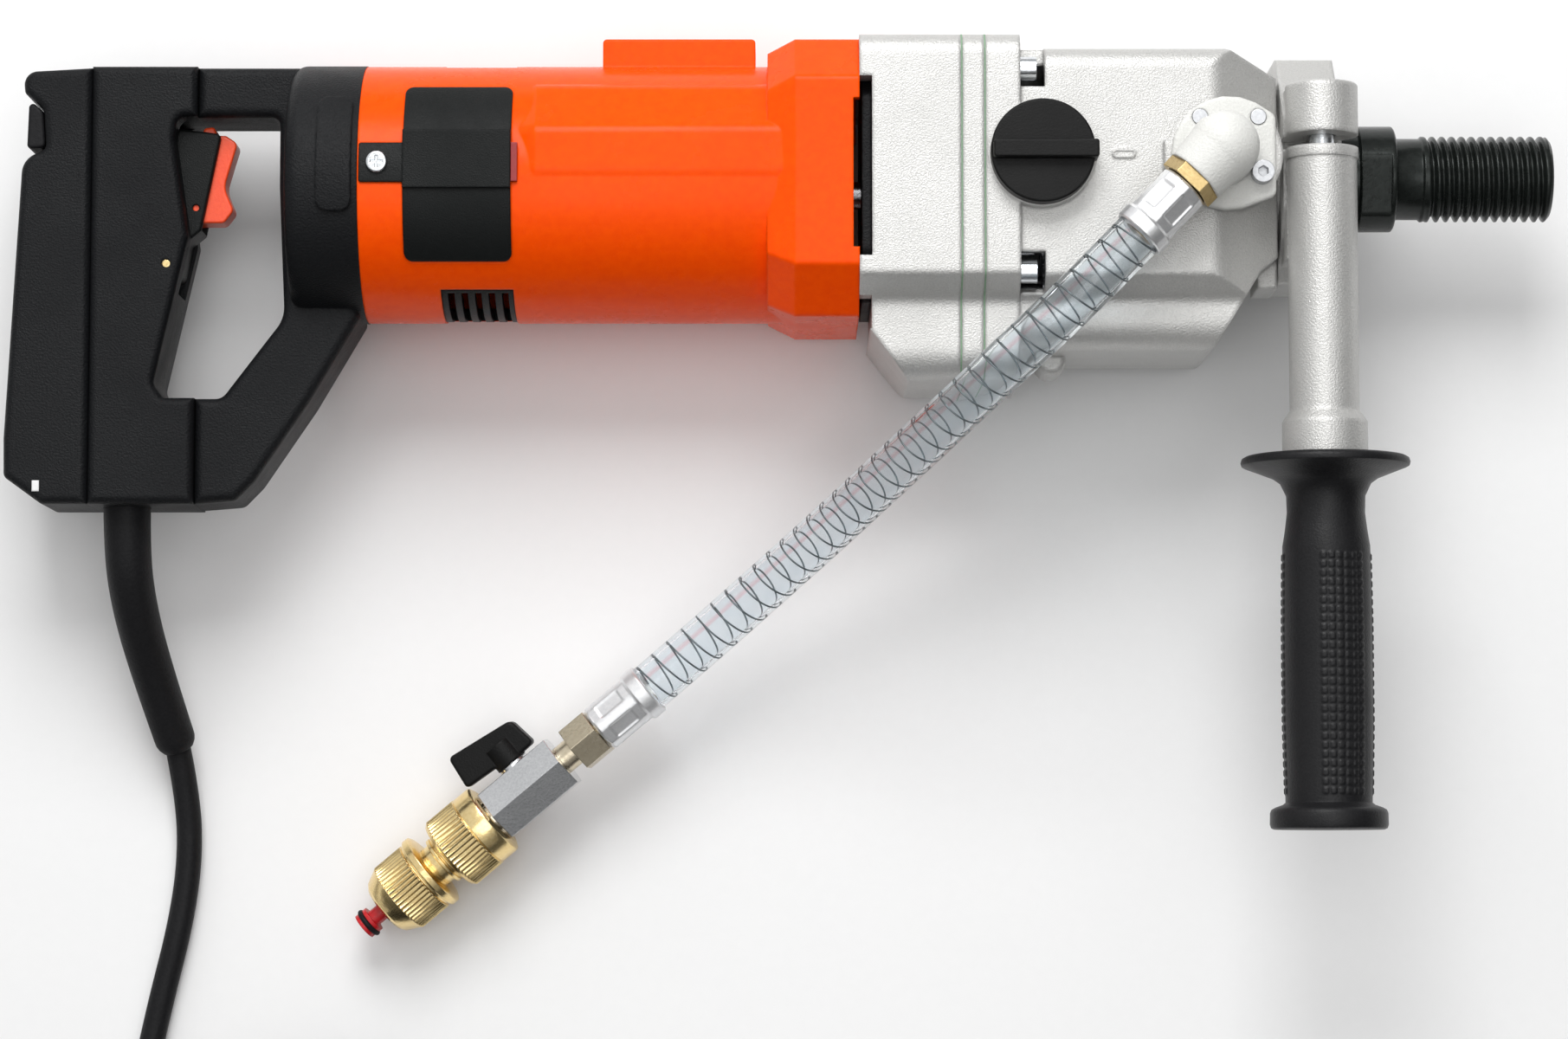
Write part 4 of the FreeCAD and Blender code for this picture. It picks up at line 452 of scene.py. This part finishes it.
# %% Mouldings and paint
orange = finish("orange_enamel", (1.0, 0.092, 0.0), (0.90, 0.060, 0.0), (0.24, 0.36), 320.0, 7.0,
                0.020, 0.0014, 0.2, (1.0, 0.22, 0.02), 0.2, specular=0.10)
nylon = finish("black_nylon", (0.010, 0.011, 0.012), (0.004, 0.004, 0.005), (0.42, 0.58), 1300.0, 12.0,
               0.14, 0.0014, 0.5, (0.035, 0.036, 0.037), 0.3, specular=0.14)
grip_rubber = finish("grip_rubber", (0.016, 0.016, 0.017), (0.006, 0.006, 0.007), (0.38, 0.52), 1200.0,
                     20.0, 0.05, 0.0006, 0.3, (0.03, 0.03, 0.031), 0.3, specular=0.22)
fine_nylon = finish("fine_black_nylon", (0.009, 0.010, 0.010), (0.003, 0.004, 0.004), (0.36, 0.52),
                    1900.0, 16.0, 0.08, 0.0010, 0.4, (0.022, 0.022, 0.022), 0.3, specular=0.14)
knob_black = finish("knob_black", (0.007, 0.007, 0.007), (0.003, 0.003, 0.003), (0.4, 0.55), 1500.0,
                    20.0, 0.05, 0.0007, 0.5, (0.03, 0.03, 0.03), 0.3, specular=0.16)
rubber = finish("lead_rubber", (0.013, 0.013, 0.014), (0.005, 0.005, 0.006), (0.5, 0.68), 900.0, 25.0,
                0.06, 0.0005, 0.0, smudge=0.35, specular=0.16)
trigger_red = finish("trigger_orange_red", (0.92, 0.10, 0.02), (0.78, 0.05, 0.01), (0.28, 0.42), 900.0,
                     20.0, 0.03, 0.0007, 0.2, (1.0, 0.3, 0.15), 0.2)
red_plastic = finish("red_plastic", (0.62, 0.015, 0.02), (0.42, 0.006, 0.01), (0.25, 0.4), 900.0, 30.0,
                     0.02, 0.0004)
clip_red = finish("clip_red", (0.34, 0.010, 0.012), (0.22, 0.005, 0.006), (0.3, 0.45), 900.0, 30.0,
                  0.02, 0.0004)
pink_red = finish("indicator_red", (0.88, 0.12, 0.12), (0.66, 0.05, 0.06), (0.15, 0.3), 800.0, 90.0,
                  0.02, 0.0004)
white_cast = finish("white_casting", (0.76, 0.76, 0.73), (0.62, 0.62, 0.595), (0.42, 0.58), 1100.0,
                    12.0, 0.10, 0.0018, 0.2, (0.9, 0.9, 0.88), 0.25)
white_plastic = finish("white_plastic", (0.85, 0.85, 0.85), (0.7, 0.7, 0.7), (0.4, 0.5), 900.0, 30.0,
                       0.02)
gasket_green = finish("gasket_paper", (0.30, 0.46, 0.30), (0.18, 0.3, 0.2), (0.7, 0.8), 1200.0, 60.0,
                      0.03)
carbon = finish("carbon", (0.05, 0.05, 0.05), (0.02, 0.02, 0.02), (0.6, 0.7), 1200.0, 40.0, 0.03)


VIAL_X = -0.263
BUBBLE_EDGE = (0.0036, 0.0044)
LINE_OFF = 0.0062
LINE_EDGE = (0.0004, 0.0006)


def level_glass():
    """Green spirit in a glass vial: two black lines stand round a paler bubble at its middle."""
    material = bpy.data.materials.new("level_glass")
    material.use_nodes = True
    tree = material.node_tree
    shader = tree.nodes["Principled BSDF"]
    shader.inputs["Coat Weight"].default_value = 0.8
    grains = place_group(tree, GRAIN, Scale=300.0, Patch=30.0)
    spirit = mix_color(tree, grains.outputs["Shade"], (0.42, 0.66, 0.06), (0.55, 0.80, 0.10))
    split = tree.nodes.new("ShaderNodeSeparateXYZ")
    tree.links.new(tree.nodes.new("ShaderNodeTexCoord").outputs["Object"], split.inputs["Vector"])
    away = math_node(tree, "ABSOLUTE", math_node(tree, "SUBTRACT", split.outputs["X"], VIAL_X))
    bubble = math_node(tree, "SUBTRACT", 1.0, spread_node(tree, away, *BUBBLE_EDGE))
    from_line = math_node(tree, "ABSOLUTE", math_node(tree, "SUBTRACT", away, LINE_OFF))
    line = math_node(tree, "SUBTRACT", 1.0, spread_node(tree, from_line, *LINE_EDGE))
    lit = mix_color(tree, bubble, spirit, (0.80, 0.93, 0.45))
    tree.links.new(mix_color(tree, line, lit, (0.02, 0.02, 0.02)), shader.inputs["Base Color"])
    gloss = math_node(tree, "ADD", 0.06, math_node(tree, "MULTIPLY", grains.outputs["Shade"], 0.1))
    tree.links.new(gloss, shader.inputs["Roughness"])
    return material


vial_green = level_glass()
table_white = finish("table_white", (0.86, 0.86, 0.86), (0.84, 0.84, 0.84), (0.7, 0.8), 200.0, 3.0,
                     0.01)
coat(table, table_white)

# %% Paint the solid pieces
paint(blasted, "gear_case_rear", "middle_plate", "gear_case_front", "handle_clamp")
paint(gasket_green, "gaskets")
paint(zinc, "case_screws", "brush_cover_screws", "tie_rod")
# The water screws get the darker zinc, whose colour is painted shade from their recessed holes.
paint(dull_zinc_painted_shade, "water_screws")
paint(nickel_brass, "swivel_nut")
paint(turned_steel, "spindle_gears", "block_gears", "counter_wheel", "countershaft", "armature_shaft",
      "ball_bearings", "stator_core", "armature_core")
paint(copper, "commutator", "field_coils")
paint(brass, "brush_holders", "paddle_pin")
paint(aged_brass, "feed_fitting")
paint(carbon, "carbon_brushes")
paint(orange, "motor_housing")
paint(vial_green, "level_vial")
paint(nylon, "handle_frame", "grip_shell", "grip_rear_cover", "bearing_bridge", "switch_body",
      "air_baffle")
paint(fine_nylon, "brush_covers", "vent_grilles", "cooling_fan", "paddle")
paint(rubber, "grip_bumper", "plug", "shaft_seal", "stop_ring")
paint(knob_black, "selector_knob", "valve_lever")
paint(trigger_red, "trigger")
paint(red_plastic, "stop_plug")
paint(clip_red, "cover_clips")
paint(pink_red, "indicator")
paint(white_plastic, "cover_lug")
paint(white_cast, "water_cap")
paint(chrome, "valve_body", "valve_ball")

# %% [markdown]
# ## Spindle
# The spindle's outside thread is 1 1/4 in - 7 UNC, right-handed: one turn forward for one turn
# round. It starts after a smooth relief behind the shoulder and fades out at the chamfered tip.

# %% Spindle
SPINDLE_R = 15.8
PITCH = 25.4 / 7
THREAD_DEPTH = 2.1
THREAD = (10.8, 56.6)
THREAD_FADE = (3.0, 2.2)
THREAD_CREST = (0.12, 0.95)
FLATS = (-13.0, -2.0)
FLAT_HALF = 16.0
FLAT_TURN = 106.0


def spindle_press(x, angle, radius):
    """Thread: radius - depth * rounded triangle of (x / pitch - angle / 2 pi), faded at both ends.

    The collar behind the shoulder has two flats. Bores and the chamfered tip keep their radius.
    """
    phase = (x / PITCH - angle / (2 * np.pi)) % 1.0
    groove = smooth_step(1 - np.abs(2 * phase - 1), *THREAD_CREST)
    fade = smooth_step(x, THREAD[0], THREAD[0] + THREAD_FADE[0])
    fade *= 1 - smooth_step(x, THREAD[1] - THREAD_FADE[1], THREAD[1])
    threaded = radius - THREAD_DEPTH * groove * fade
    outside = (radius > 14.0) & (x > 1.5)
    flat = (x >= FLATS[0]) & (x <= FLATS[1])
    pressed = np.where(outside, threaded, radius)
    flattened = np.minimum(radius, across_flats(angle, FLAT_HALF, 2, FLAT_TURN))
    return np.where(flat & (radius > 17), flattened, pressed)


thread_rows = [(x, SPINDLE_R) for x in np.arange(10.4, 56.2, 0.3)]
spindle_profile = [(-156.0, 9.0), (-155.0, 10.0), (-144.5, 10.0), (-144.5, 12.5), (-20.5, 12.5),
                   (-20.5, 18.4), (-14.0, 18.4), (-14.0, 18.5), (-13.01, 19.5), (-13.0, 19.5),
                   (-2.0, 19.5), (-1.99, 19.5), (-1.0, 19.5), (-0.6, 19.4), (0.0, 18.6), (0.0, 15.4),
                   (0.6, 15.0), (9.6, 15.0)] + thread_rows
spindle_profile += [(56.4, 15.6), (57.6, 14.2), (57.6, 10.1), (56.9, 9.3), (37.6, 9.3), (37.6, 5.0),
                    (-60.0, 5.0)]
spindle = turned_piece("threaded_spindle", spindle_profile, (0, 0, 0), (1, 0, 0), 128, spindle_press)
coat(shade_smooth(spindle, 40), black_oxide)
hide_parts("spindle")
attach(spindle, "spindle")

# %% [markdown]
# ## Side grip
# Low rounded squares cover four panels of the grip, with smooth bands between them.

# %% Side grip
ARM = (-31.0, 0.0, 43.0)
SQUARES = (142.0, 228.4)
SQUARE_STEP = 3.2
SQUARE_ANGLE = 10.6
SQUARE_HEIGHT = 0.45
SQUARE_EDGE = (0.28, 0.44)
GRIP_AT = (139.5, 167.5, 202.5, 230.8)
GRIP_RADII = (15.6, 16.0, 16.0, 15.4)
PANELS = ((15.5, 3.0), (103.0, 2.5), (-103.0, 2.5), (180.0, 2.5))


def grip_press(distance, angle, radius):
    """Squares: radius + height * (1 - smooth step of (|u|^4 + |v|^4)^(1/4)).

    u and v run from 0 in the middle of a cell to 0.5 at its edges.
    """
    lean = 90.0 - np.degrees(angle)
    v = np.abs(((distance - SQUARES[0]) / SQUARE_STEP) % 1.0 - 0.5)
    raised = np.zeros_like(radius)
    for middle, half_count in PANELS:
        off = ((lean - middle + 180.0) % 360.0 - 180.0) / SQUARE_ANGLE + half_count
        u = np.abs(off % 1.0 - 0.5)
        here = (off > 0) & (off < 2 * half_count) & (distance > SQUARES[0]) & (distance < SQUARES[1])
        raised = np.where(here, 1 - smooth_step((u ** 4 + v ** 4) ** 0.25, *SQUARE_EDGE), raised)
    return radius + SQUARE_HEIGHT * raised


grip_profile = [(107.5, 14.6), (107.5, 28.6), (108.2, 29.8), (109.5, 30.2), (110.6, 29.9),
                (111.1, 29.0), (113.0, 24.0), (115.0, 19.0), (117.0, 16.2), (121.5, 14.1),
                (127.5, 13.9), (134.0, 14.7), (139.5, 15.6)]
square_rows = [(d, float(np.interp(d, GRIP_AT, GRIP_RADII)))
               for d in np.arange(SQUARES[0] - 0.4, SQUARES[1] + 0.4, 0.4)]
grip_profile += square_rows + [(230.8, 15.4), (231.6, 16.4), (232.5, 19.0), (233.3, 20.4),
                               (234.5, 20.9), (238.5, 21.0), (239.8, 20.6), (240.3, 19.6), (240.3, 4.0)]
side_grip = turned_piece("dimpled_grip", grip_profile, ARM, (0, -1, 0), 240, grip_press)
coat(shade_smooth(side_grip, 45), grip_rubber)
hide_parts("side_grip")
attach(side_grip, "side_grip")

# %% [markdown]
# ## Crimped sleeves
# A sleeve is crimped over each end of the hose: six long flats, each with a shallow window, and
# a round mouth where the hose enters.

# %% Sleeves on the hose
ELBOW = np.array([-68.5, 1.0, 66.0])
feed_turn = math.radians(226.0)
FEED = np.array([math.cos(feed_turn), math.sin(feed_turn), 0.0])
HOSE_END = np.array([-274.5, -187.0, -20.3])
HOSE_LIE = np.array([-109.1, -90.5, -15.0])
CRIMP_LENGTH = 24.0
CRIMP_AT = 20.1
CRIMP_HALF = 9.1
WINDOW_DEPTH = 0.5
WINDOW_EDGE = (0.26, 0.34)


def crimp_press(distance, angle, radius):
    """Hexagon of 2 * CRIMP_HALF across flats, with a shallow window 10 mm long in each flat."""
    crimped_part = (distance > 0.9) & (distance < 18.2) & (radius > 8)
    hexed = np.minimum(radius, across_flats(angle, CRIMP_HALF, 6, 0.0))
    off = np.abs((angle + np.pi / 6) % (np.pi / 3) - np.pi / 6)
    window = smooth_step(distance, 4.0, 4.8) * (1 - smooth_step(distance, 14.2, 15.0))
    window *= 1 - smooth_step(off, *WINDOW_EDGE)
    return np.where(crimped_part, hexed - WINDOW_DEPTH * window, radius)


sleeve_profile = [(0.0, 5.62), (0.0, 8.6), (0.4, 9.0), (0.9, 9.3)]
sleeve_profile += [(d, 9.6) for d in np.arange(1.0, 18.1, 0.4)]
sleeve_profile += [(18.3, 9.7), (19.0, 10.3), (23.4, 10.3), (24.0, 9.8), (24.0, 5.62)]
upper_start = ELBOW + CRIMP_AT * FEED
lower_start = HOSE_END + CRIMP_LENGTH * HOSE_LIE / np.linalg.norm(HOSE_LIE)
upper_sleeve = turned_piece("crimp_upper", sleeve_profile, upper_start, FEED, 180, crimp_press, True)
lower_sleeve = turned_piece("crimp_lower", sleeve_profile, lower_start, -HOSE_LIE, 180, crimp_press,
                            True)
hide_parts("hose_ferrules")
for piece in (upper_sleeve, lower_sleeve):
    coat(shade_smooth(piece, 30), crimped)
    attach(piece, "machine")

# %% [markdown]
# ## Brass coupling
# The screwed ring and the sliding collar are knurled with straight ribs. Both are bored through.

# %% Coupling
RIB_COUNT = 50
RIB_DEPTH = 0.7


def ribbed(start, end):
    """A press that cuts straight ribs into the outside between start and end."""
    def press(distance, angle, radius):
        knurled = (distance > start) & (distance < end) & (radius > 12)
        return radius - np.where(knurled, ribs(angle, RIB_COUNT, RIB_DEPTH), 0)
    return press


union_profile = [(75.0, 7.52), (75.0, 12.6), (75.8, 14.3), (76.6, 14.6), (82.6, 14.6), (83.0, 14.0),
                 (83.4, 14.8), (83.7, 14.8), (95.4, 14.8), (95.7, 14.8), (96.0, 14.6), (97.0, 13.8),
                 (97.0, 9.6), (98.2, 9.6), (98.5, 8.9), (98.9, 8.9), (99.2, 9.6), (100.4, 9.6),
                 (100.7, 8.0), (114.4, 8.0), (115.0, 7.5), (115.0, 4.2), (78.0, 4.2), (78.0, 7.52)]
union = turned_piece("knurled_union", union_profile, HOSE_END, HOSE_LIE, 300, ribbed(83.6, 95.5), True)
collar_profile = [(104.0, 8.06), (104.0, 11.5), (104.6, 14.0), (105.2, 14.9), (107.4, 15.0),
                  (107.9, 14.6), (108.1, 13.3), (109.0, 13.3), (109.3, 14.2), (109.6, 14.2),
                  (121.3, 14.2), (121.6, 14.2), (122.4, 13.7), (127.0, 11.4), (128.5, 9.5),
                  (128.5, 8.06)]
collar = turned_piece("knurled_collar", collar_profile, HOSE_END, HOSE_LIE, 300, ribbed(109.5, 121.4),
                      True)
for piece, node, body in ((union, "coupling_union", "machine"),
                          (collar, "coupling_collar", "release_collar")):
    coat(shade_smooth(piece, 40), brass)
    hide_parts(node)
    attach(piece, body)

# %% [markdown]
# ## Lines that bend
# A lead or hose is one smooth curve. A quadratic NURBS curve cuts inside the corners of a short
# list of points, as a springy cable does. Surfaces that follow it read their centreline from
# that same curve, so nothing drifts apart.


# %% Curves and tubes along them
def spline_piece(name, points, radius):
    """A round cord: a NURBS curve through control points in millimetres, given a round section."""
    curve = bpy.data.curves.new(name, "CURVE")
    curve.dimensions = "3D"
    curve.resolution_u = 10
    spline = curve.splines.new("NURBS")
    spline.points.add(len(points) - 1)
    placed = np.column_stack([np.array(points, float) * MM, np.ones(len(points))])
    spline.points.foreach_set("co", placed.ravel())
    spline.order_u = 3
    spline.use_endpoint_u = True
    curve.bevel_depth = radius * MM
    curve.bevel_resolution = 5
    curve.use_fill_caps = True
    piece = bpy.data.objects.new(name, curve)
    bpy.context.scene.collection.objects.link(piece)
    return piece


def centreline(points):
    """Points along the NURBS curve of some control points, in millimetres."""
    guide = spline_piece("guide", points, 0.0)
    guide.data.resolution_u = 24
    mesh = bpy.data.meshes.new_from_object(guide)
    line = np.empty(len(mesh.vertices) * 3)
    mesh.vertices.foreach_get("co", line)
    bpy.data.objects.remove(guide)
    return line.reshape(-1, 3) / MM


def length_of(line):
    """The length of a line of points."""
    return float(np.linalg.norm(np.diff(line, axis=0), axis=1).sum())


def resample(line, count):
    """count points spaced evenly along a line, by linear interpolation over its length."""
    steps = np.linalg.norm(np.diff(line, axis=0), axis=1)
    reach = np.concatenate([[0.0], np.cumsum(steps)])
    wanted = np.linspace(0, reach[-1], count)
    return np.column_stack([np.interp(wanted, reach, line[:, k]) for k in range(3)])


def line_axes(line):
    """Unit vectors (side, up) at each point; side stays level, which suits a lying line."""
    along = np.gradient(line, axis=0)
    along /= np.linalg.norm(along, axis=1, keepdims=True)
    side = np.cross(np.array([0.0, 0.0, 1.0]), along)
    side /= np.linalg.norm(side, axis=1, keepdims=True)
    return side, np.cross(along, side)


def tube_points(line, radius, segments):
    """points[i, j] = line[i] + radius[i] * (cos(angle_j) * side + sin(angle_j) * up)."""
    side, up = line_axes(line)
    angle = np.linspace(0, 2 * np.pi, segments, endpoint=False)
    spokes = np.cos(angle)[None, :, None] * side[:, None] + np.sin(angle)[None, :, None] * up[:, None]
    return line[:, None] + np.broadcast_to(radius, (len(line),))[:, None, None] * spokes


# %% [markdown]
# ## Mains lead
# A rubber lead of 9.5 mm leaves the bend protection, sinks to the table and runs out of view. The
# rest is wound up as for storage, in four flat spirals that lie on each other: the first winds
# inwards, the next outwards, and so on. The lead climbs to the next spiral while it keeps to the
# innermost or outermost turn.

# %% Lead route
CORD_R = 4.75
LEAD_Z = FLOOR_Z / MM + CORD_R
LEAD_POINTS = [(-451.2, -208.5, -38.0), (-447.8, -228.0, -43.8), (-447.2, -251.0, LEAD_Z),
               (-450.6, -275.0, LEAD_Z), (-457.0, -301.0, LEAD_Z), (-462.6, -327.0, LEAD_Z),
               (-465.2, -352.0, LEAD_Z), (-465.8, -376.0, LEAD_Z)]
COIL_CENTRE = (-397.5, -400.0)
COIL_START = 188
COIL_STEPS = 16
OUTER_TURN = 68.25
SPIRAL_TURNS = 3
CLIMBS = (0.40, 0.25, 0.40)
COIL_TOP = LEAD_Z + 2 * CORD_R * len(CLIMBS)
TAIL_POINTS = [(-452.0, -448.5, COIL_TOP - 0.45), (-441.0, -466.0, -20.0), (-425.5, -480.0, -25.0),
               (-405.5, -487.8, -29.3), (-384.5, -490.0, -31.0)]


def coil_route():
    """x = cx + r * cos(angle), y = cy + r * sin(angle), with COIL_STEPS points to a turn.

    r drifts by one lead's width a turn, and z steps up by as much at each climb.
    """
    inner = OUTER_TURN - 2 * CORD_R * SPIRAL_TURNS
    stops, radii, heights = [0.0], [OUTER_TURN], [LEAD_Z]
    for layer in range(len(CLIMBS) + 1):
        stops.append(stops[-1] + SPIRAL_TURNS)
        radii.append(inner if layer % 2 == 0 else OUTER_TURN)
        heights.append(heights[-1])
        if layer < len(CLIMBS):
            stops.append(stops[-1] + CLIMBS[layer])
            radii.append(radii[-1])
            heights.append(heights[-1] + 2 * CORD_R)
    turn = np.linspace(0, stops[-1], round(stops[-1] * COIL_STEPS))
    radius = np.interp(turn, stops, radii)
    share = np.interp(turn, stops, heights)
    layer = np.floor((share - LEAD_Z) / (2 * CORD_R) + 1e-9)
    height = LEAD_Z + 2 * CORD_R * (layer + smooth_step((share - LEAD_Z) / (2 * CORD_R) - layer, 0, 1))
    theta = math.radians(COIL_START) + 2 * np.pi * turn
    x = COIL_CENTRE[0] + radius * np.cos(theta)
    y = COIL_CENTRE[1] + radius * np.sin(theta)
    return np.column_stack([x, y, height])


lead_route = np.concatenate([np.array(LEAD_POINTS), coil_route(), np.array(TAIL_POINTS)])
lead = coat(spline_piece("mains_lead_whole", lead_route, CORD_R), rubber)
lead_length = length_of(centreline(lead_route))
print("lead length", round(lead_length))
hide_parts("mains_lead", "lead_coil", "lead_tail")
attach(lead, "machine")

# %% [markdown]
# ## Bend protection
# The rubber sleeve where the lead leaves the grip is a little thicker than the lead and tapers.

# %% Bend protection
BEND_POINTS = [(-465.6, -119.0, 0.0), (-465.6, -138.0, 0.0), (-463.8, -159.0, -10.0),
               (-458.5, -183.5, -25.5), (-451.2, -208.5, -38.0)]
BEND_MOUTH_R = 8.7
BEND_TAPER = 1.2
BEND_LIP = 1.6
LIP_FROM = 0.96
BEND_ROWS = 60


def bend_sleeve():
    """A tube whose radius falls evenly from mouth to tip, with a rounded lip."""
    line = resample(centreline(BEND_POINTS), BEND_ROWS)
    share = np.linspace(0, 1, BEND_ROWS)
    lip = np.clip((share - LIP_FROM) / (1 - LIP_FROM), 0, 1) ** 2
    radius = BEND_MOUTH_R - BEND_TAPER * share - BEND_LIP * lip
    piece = grid_piece("bend_sleeve", tube_points(line, radius, 40) * MM, line[[0, -1]] * MM)
    return shade_smooth(coat(piece, rubber), 50)


sleeve = bend_sleeve()
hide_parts("cord_sleeve")
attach(sleeve, "machine")

# %% [markdown]
# ## Water hose
# Clear PVC, 18 mm outside, with a steel wire spiral moulded into its wall. The wall is one closed
# skin: it runs down the outside and back up the inside. The wire is a thin tube along a helix.

# %% Hose route
HOSE_R = 9.0
BORE_R = 7.0
WIRE_R = 0.36
WIRE_PITCH = 7.3
WIRE_STEPS = 26
HOSE_ROWS = 150
HOSE_START = ELBOW + (CRIMP_AT + CRIMP_LENGTH) * FEED
HOSE_POINTS = [tuple(HOSE_START), (-120, -52, 61.5), (-141, -71, 55), (-163, -91, 43.5),
               (-186, -111, 25), (-209, -131, 5.5), (-232, -150.5, -9.5), (-254.5, -170, -17.5),
               tuple(HOSE_END)]


# %% Hose material
STRIPE_AT = 0.66
STRIPE_EDGE = (0.008, 0.02)
STRIPE_TINT = 0.45


def clear_pvc():
    """Clear soft PVC with one faint pink stripe along its upper side."""
    material = bpy.data.materials.new("clear_pvc")
    material.use_nodes = True
    tree = material.node_tree
    shader = tree.nodes["Principled BSDF"]
    shader.inputs["Transmission Weight"].default_value = 0.97
    shader.inputs["IOR"].default_value = 1.12
    shader.inputs["Coat Weight"].default_value = 0.35
    uv = tree.nodes.new("ShaderNodeUVMap")
    uv.uv_map = "along"
    split = tree.nodes.new("ShaderNodeSeparateXYZ")
    tree.links.new(uv.outputs["UV"], split.inputs["Vector"])
    offset = math_node(tree, "ABSOLUTE", math_node(tree, "SUBTRACT", split.outputs["Y"], STRIPE_AT))
    stripe = math_node(tree, "SUBTRACT", 1.0, spread_node(tree, offset, *STRIPE_EDGE))
    grains = place_group(tree, GRAIN, Scale=160.0, Patch=60.0)
    clear = mix_color(tree, grains.outputs["Shade"], (0.86, 0.92, 0.96), (0.97, 0.99, 1.0))
    color = mix_color(tree, math_node(tree, "MULTIPLY", stripe, STRIPE_TINT), clear, (0.95, 0.35, 0.40))
    tree.links.new(color, shader.inputs["Base Color"])
    gloss = math_node(tree, "ADD", 0.02, math_node(tree, "MULTIPLY", grains.outputs["Shade"], 0.05))
    tree.links.new(gloss, shader.inputs["Roughness"])
    return material


# %% Hose and wire
def hose_wall():
    """Outer skin down the line, inner skin back up it, joined at both mouths; also its line."""
    line = resample(centreline(HOSE_POINTS), HOSE_ROWS)
    outer = tube_points(line, HOSE_R, 40)
    inner = tube_points(line, BORE_R, 40)[::-1]
    rings = np.concatenate([outer, inner])
    piece = grid_piece("clear_hose", rings * MM)
    mesh = piece.data
    rows, columns, _ = rings.shape
    share = np.concatenate([np.linspace(0, 1, len(line)), np.linspace(1, 0, len(line))])
    u = np.broadcast_to(share[:, None], (rows, columns)).ravel()
    v = np.broadcast_to(np.arange(columns)[None, :] / columns, (rows, columns)).ravel()
    corner = np.empty(len(mesh.loops), dtype=int)
    mesh.loops.foreach_get("vertex_index", corner)
    layer = mesh.uv_layers.new(name="along")
    layer.data.foreach_set("uv", np.column_stack([u[corner], v[corner]]).ravel())
    return shade_smooth(coat(piece, clear_pvc()), 60), line


def wire_spiral(line):
    """Helix: line + r * (cos(a) * side + sin(a) * up), where a grows by one turn for each pitch."""
    turns = length_of(line) / WIRE_PITCH
    line = resample(line, int(turns * WIRE_STEPS))
    side, up = line_axes(line)
    angle = np.linspace(0, 2 * np.pi * turns, len(line))[:, None]
    spoke = np.cos(angle) * side + np.sin(angle) * up
    helix = line + (HOSE_R + BORE_R) / 2 * spoke
    along = np.gradient(helix, axis=0)
    along /= np.linalg.norm(along, axis=1, keepdims=True)
    across = np.cross(along, spoke)
    ring = np.linspace(0, 2 * np.pi, 8, endpoint=False)[None, :, None]
    points = helix[:, None] + WIRE_R * (np.cos(ring) * spoke[:, None] + np.sin(ring) * across[:, None])
    piece = grid_piece("hose_wire", points * MM, helix[[0, -1]] * MM)
    return shade_smooth(coat(piece, spring_steel), 60)


hose, hose_line = hose_wall()
wire = wire_spiral(hose_line)
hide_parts("water_hose")
for piece in (hose, wire):
    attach(piece, "machine")
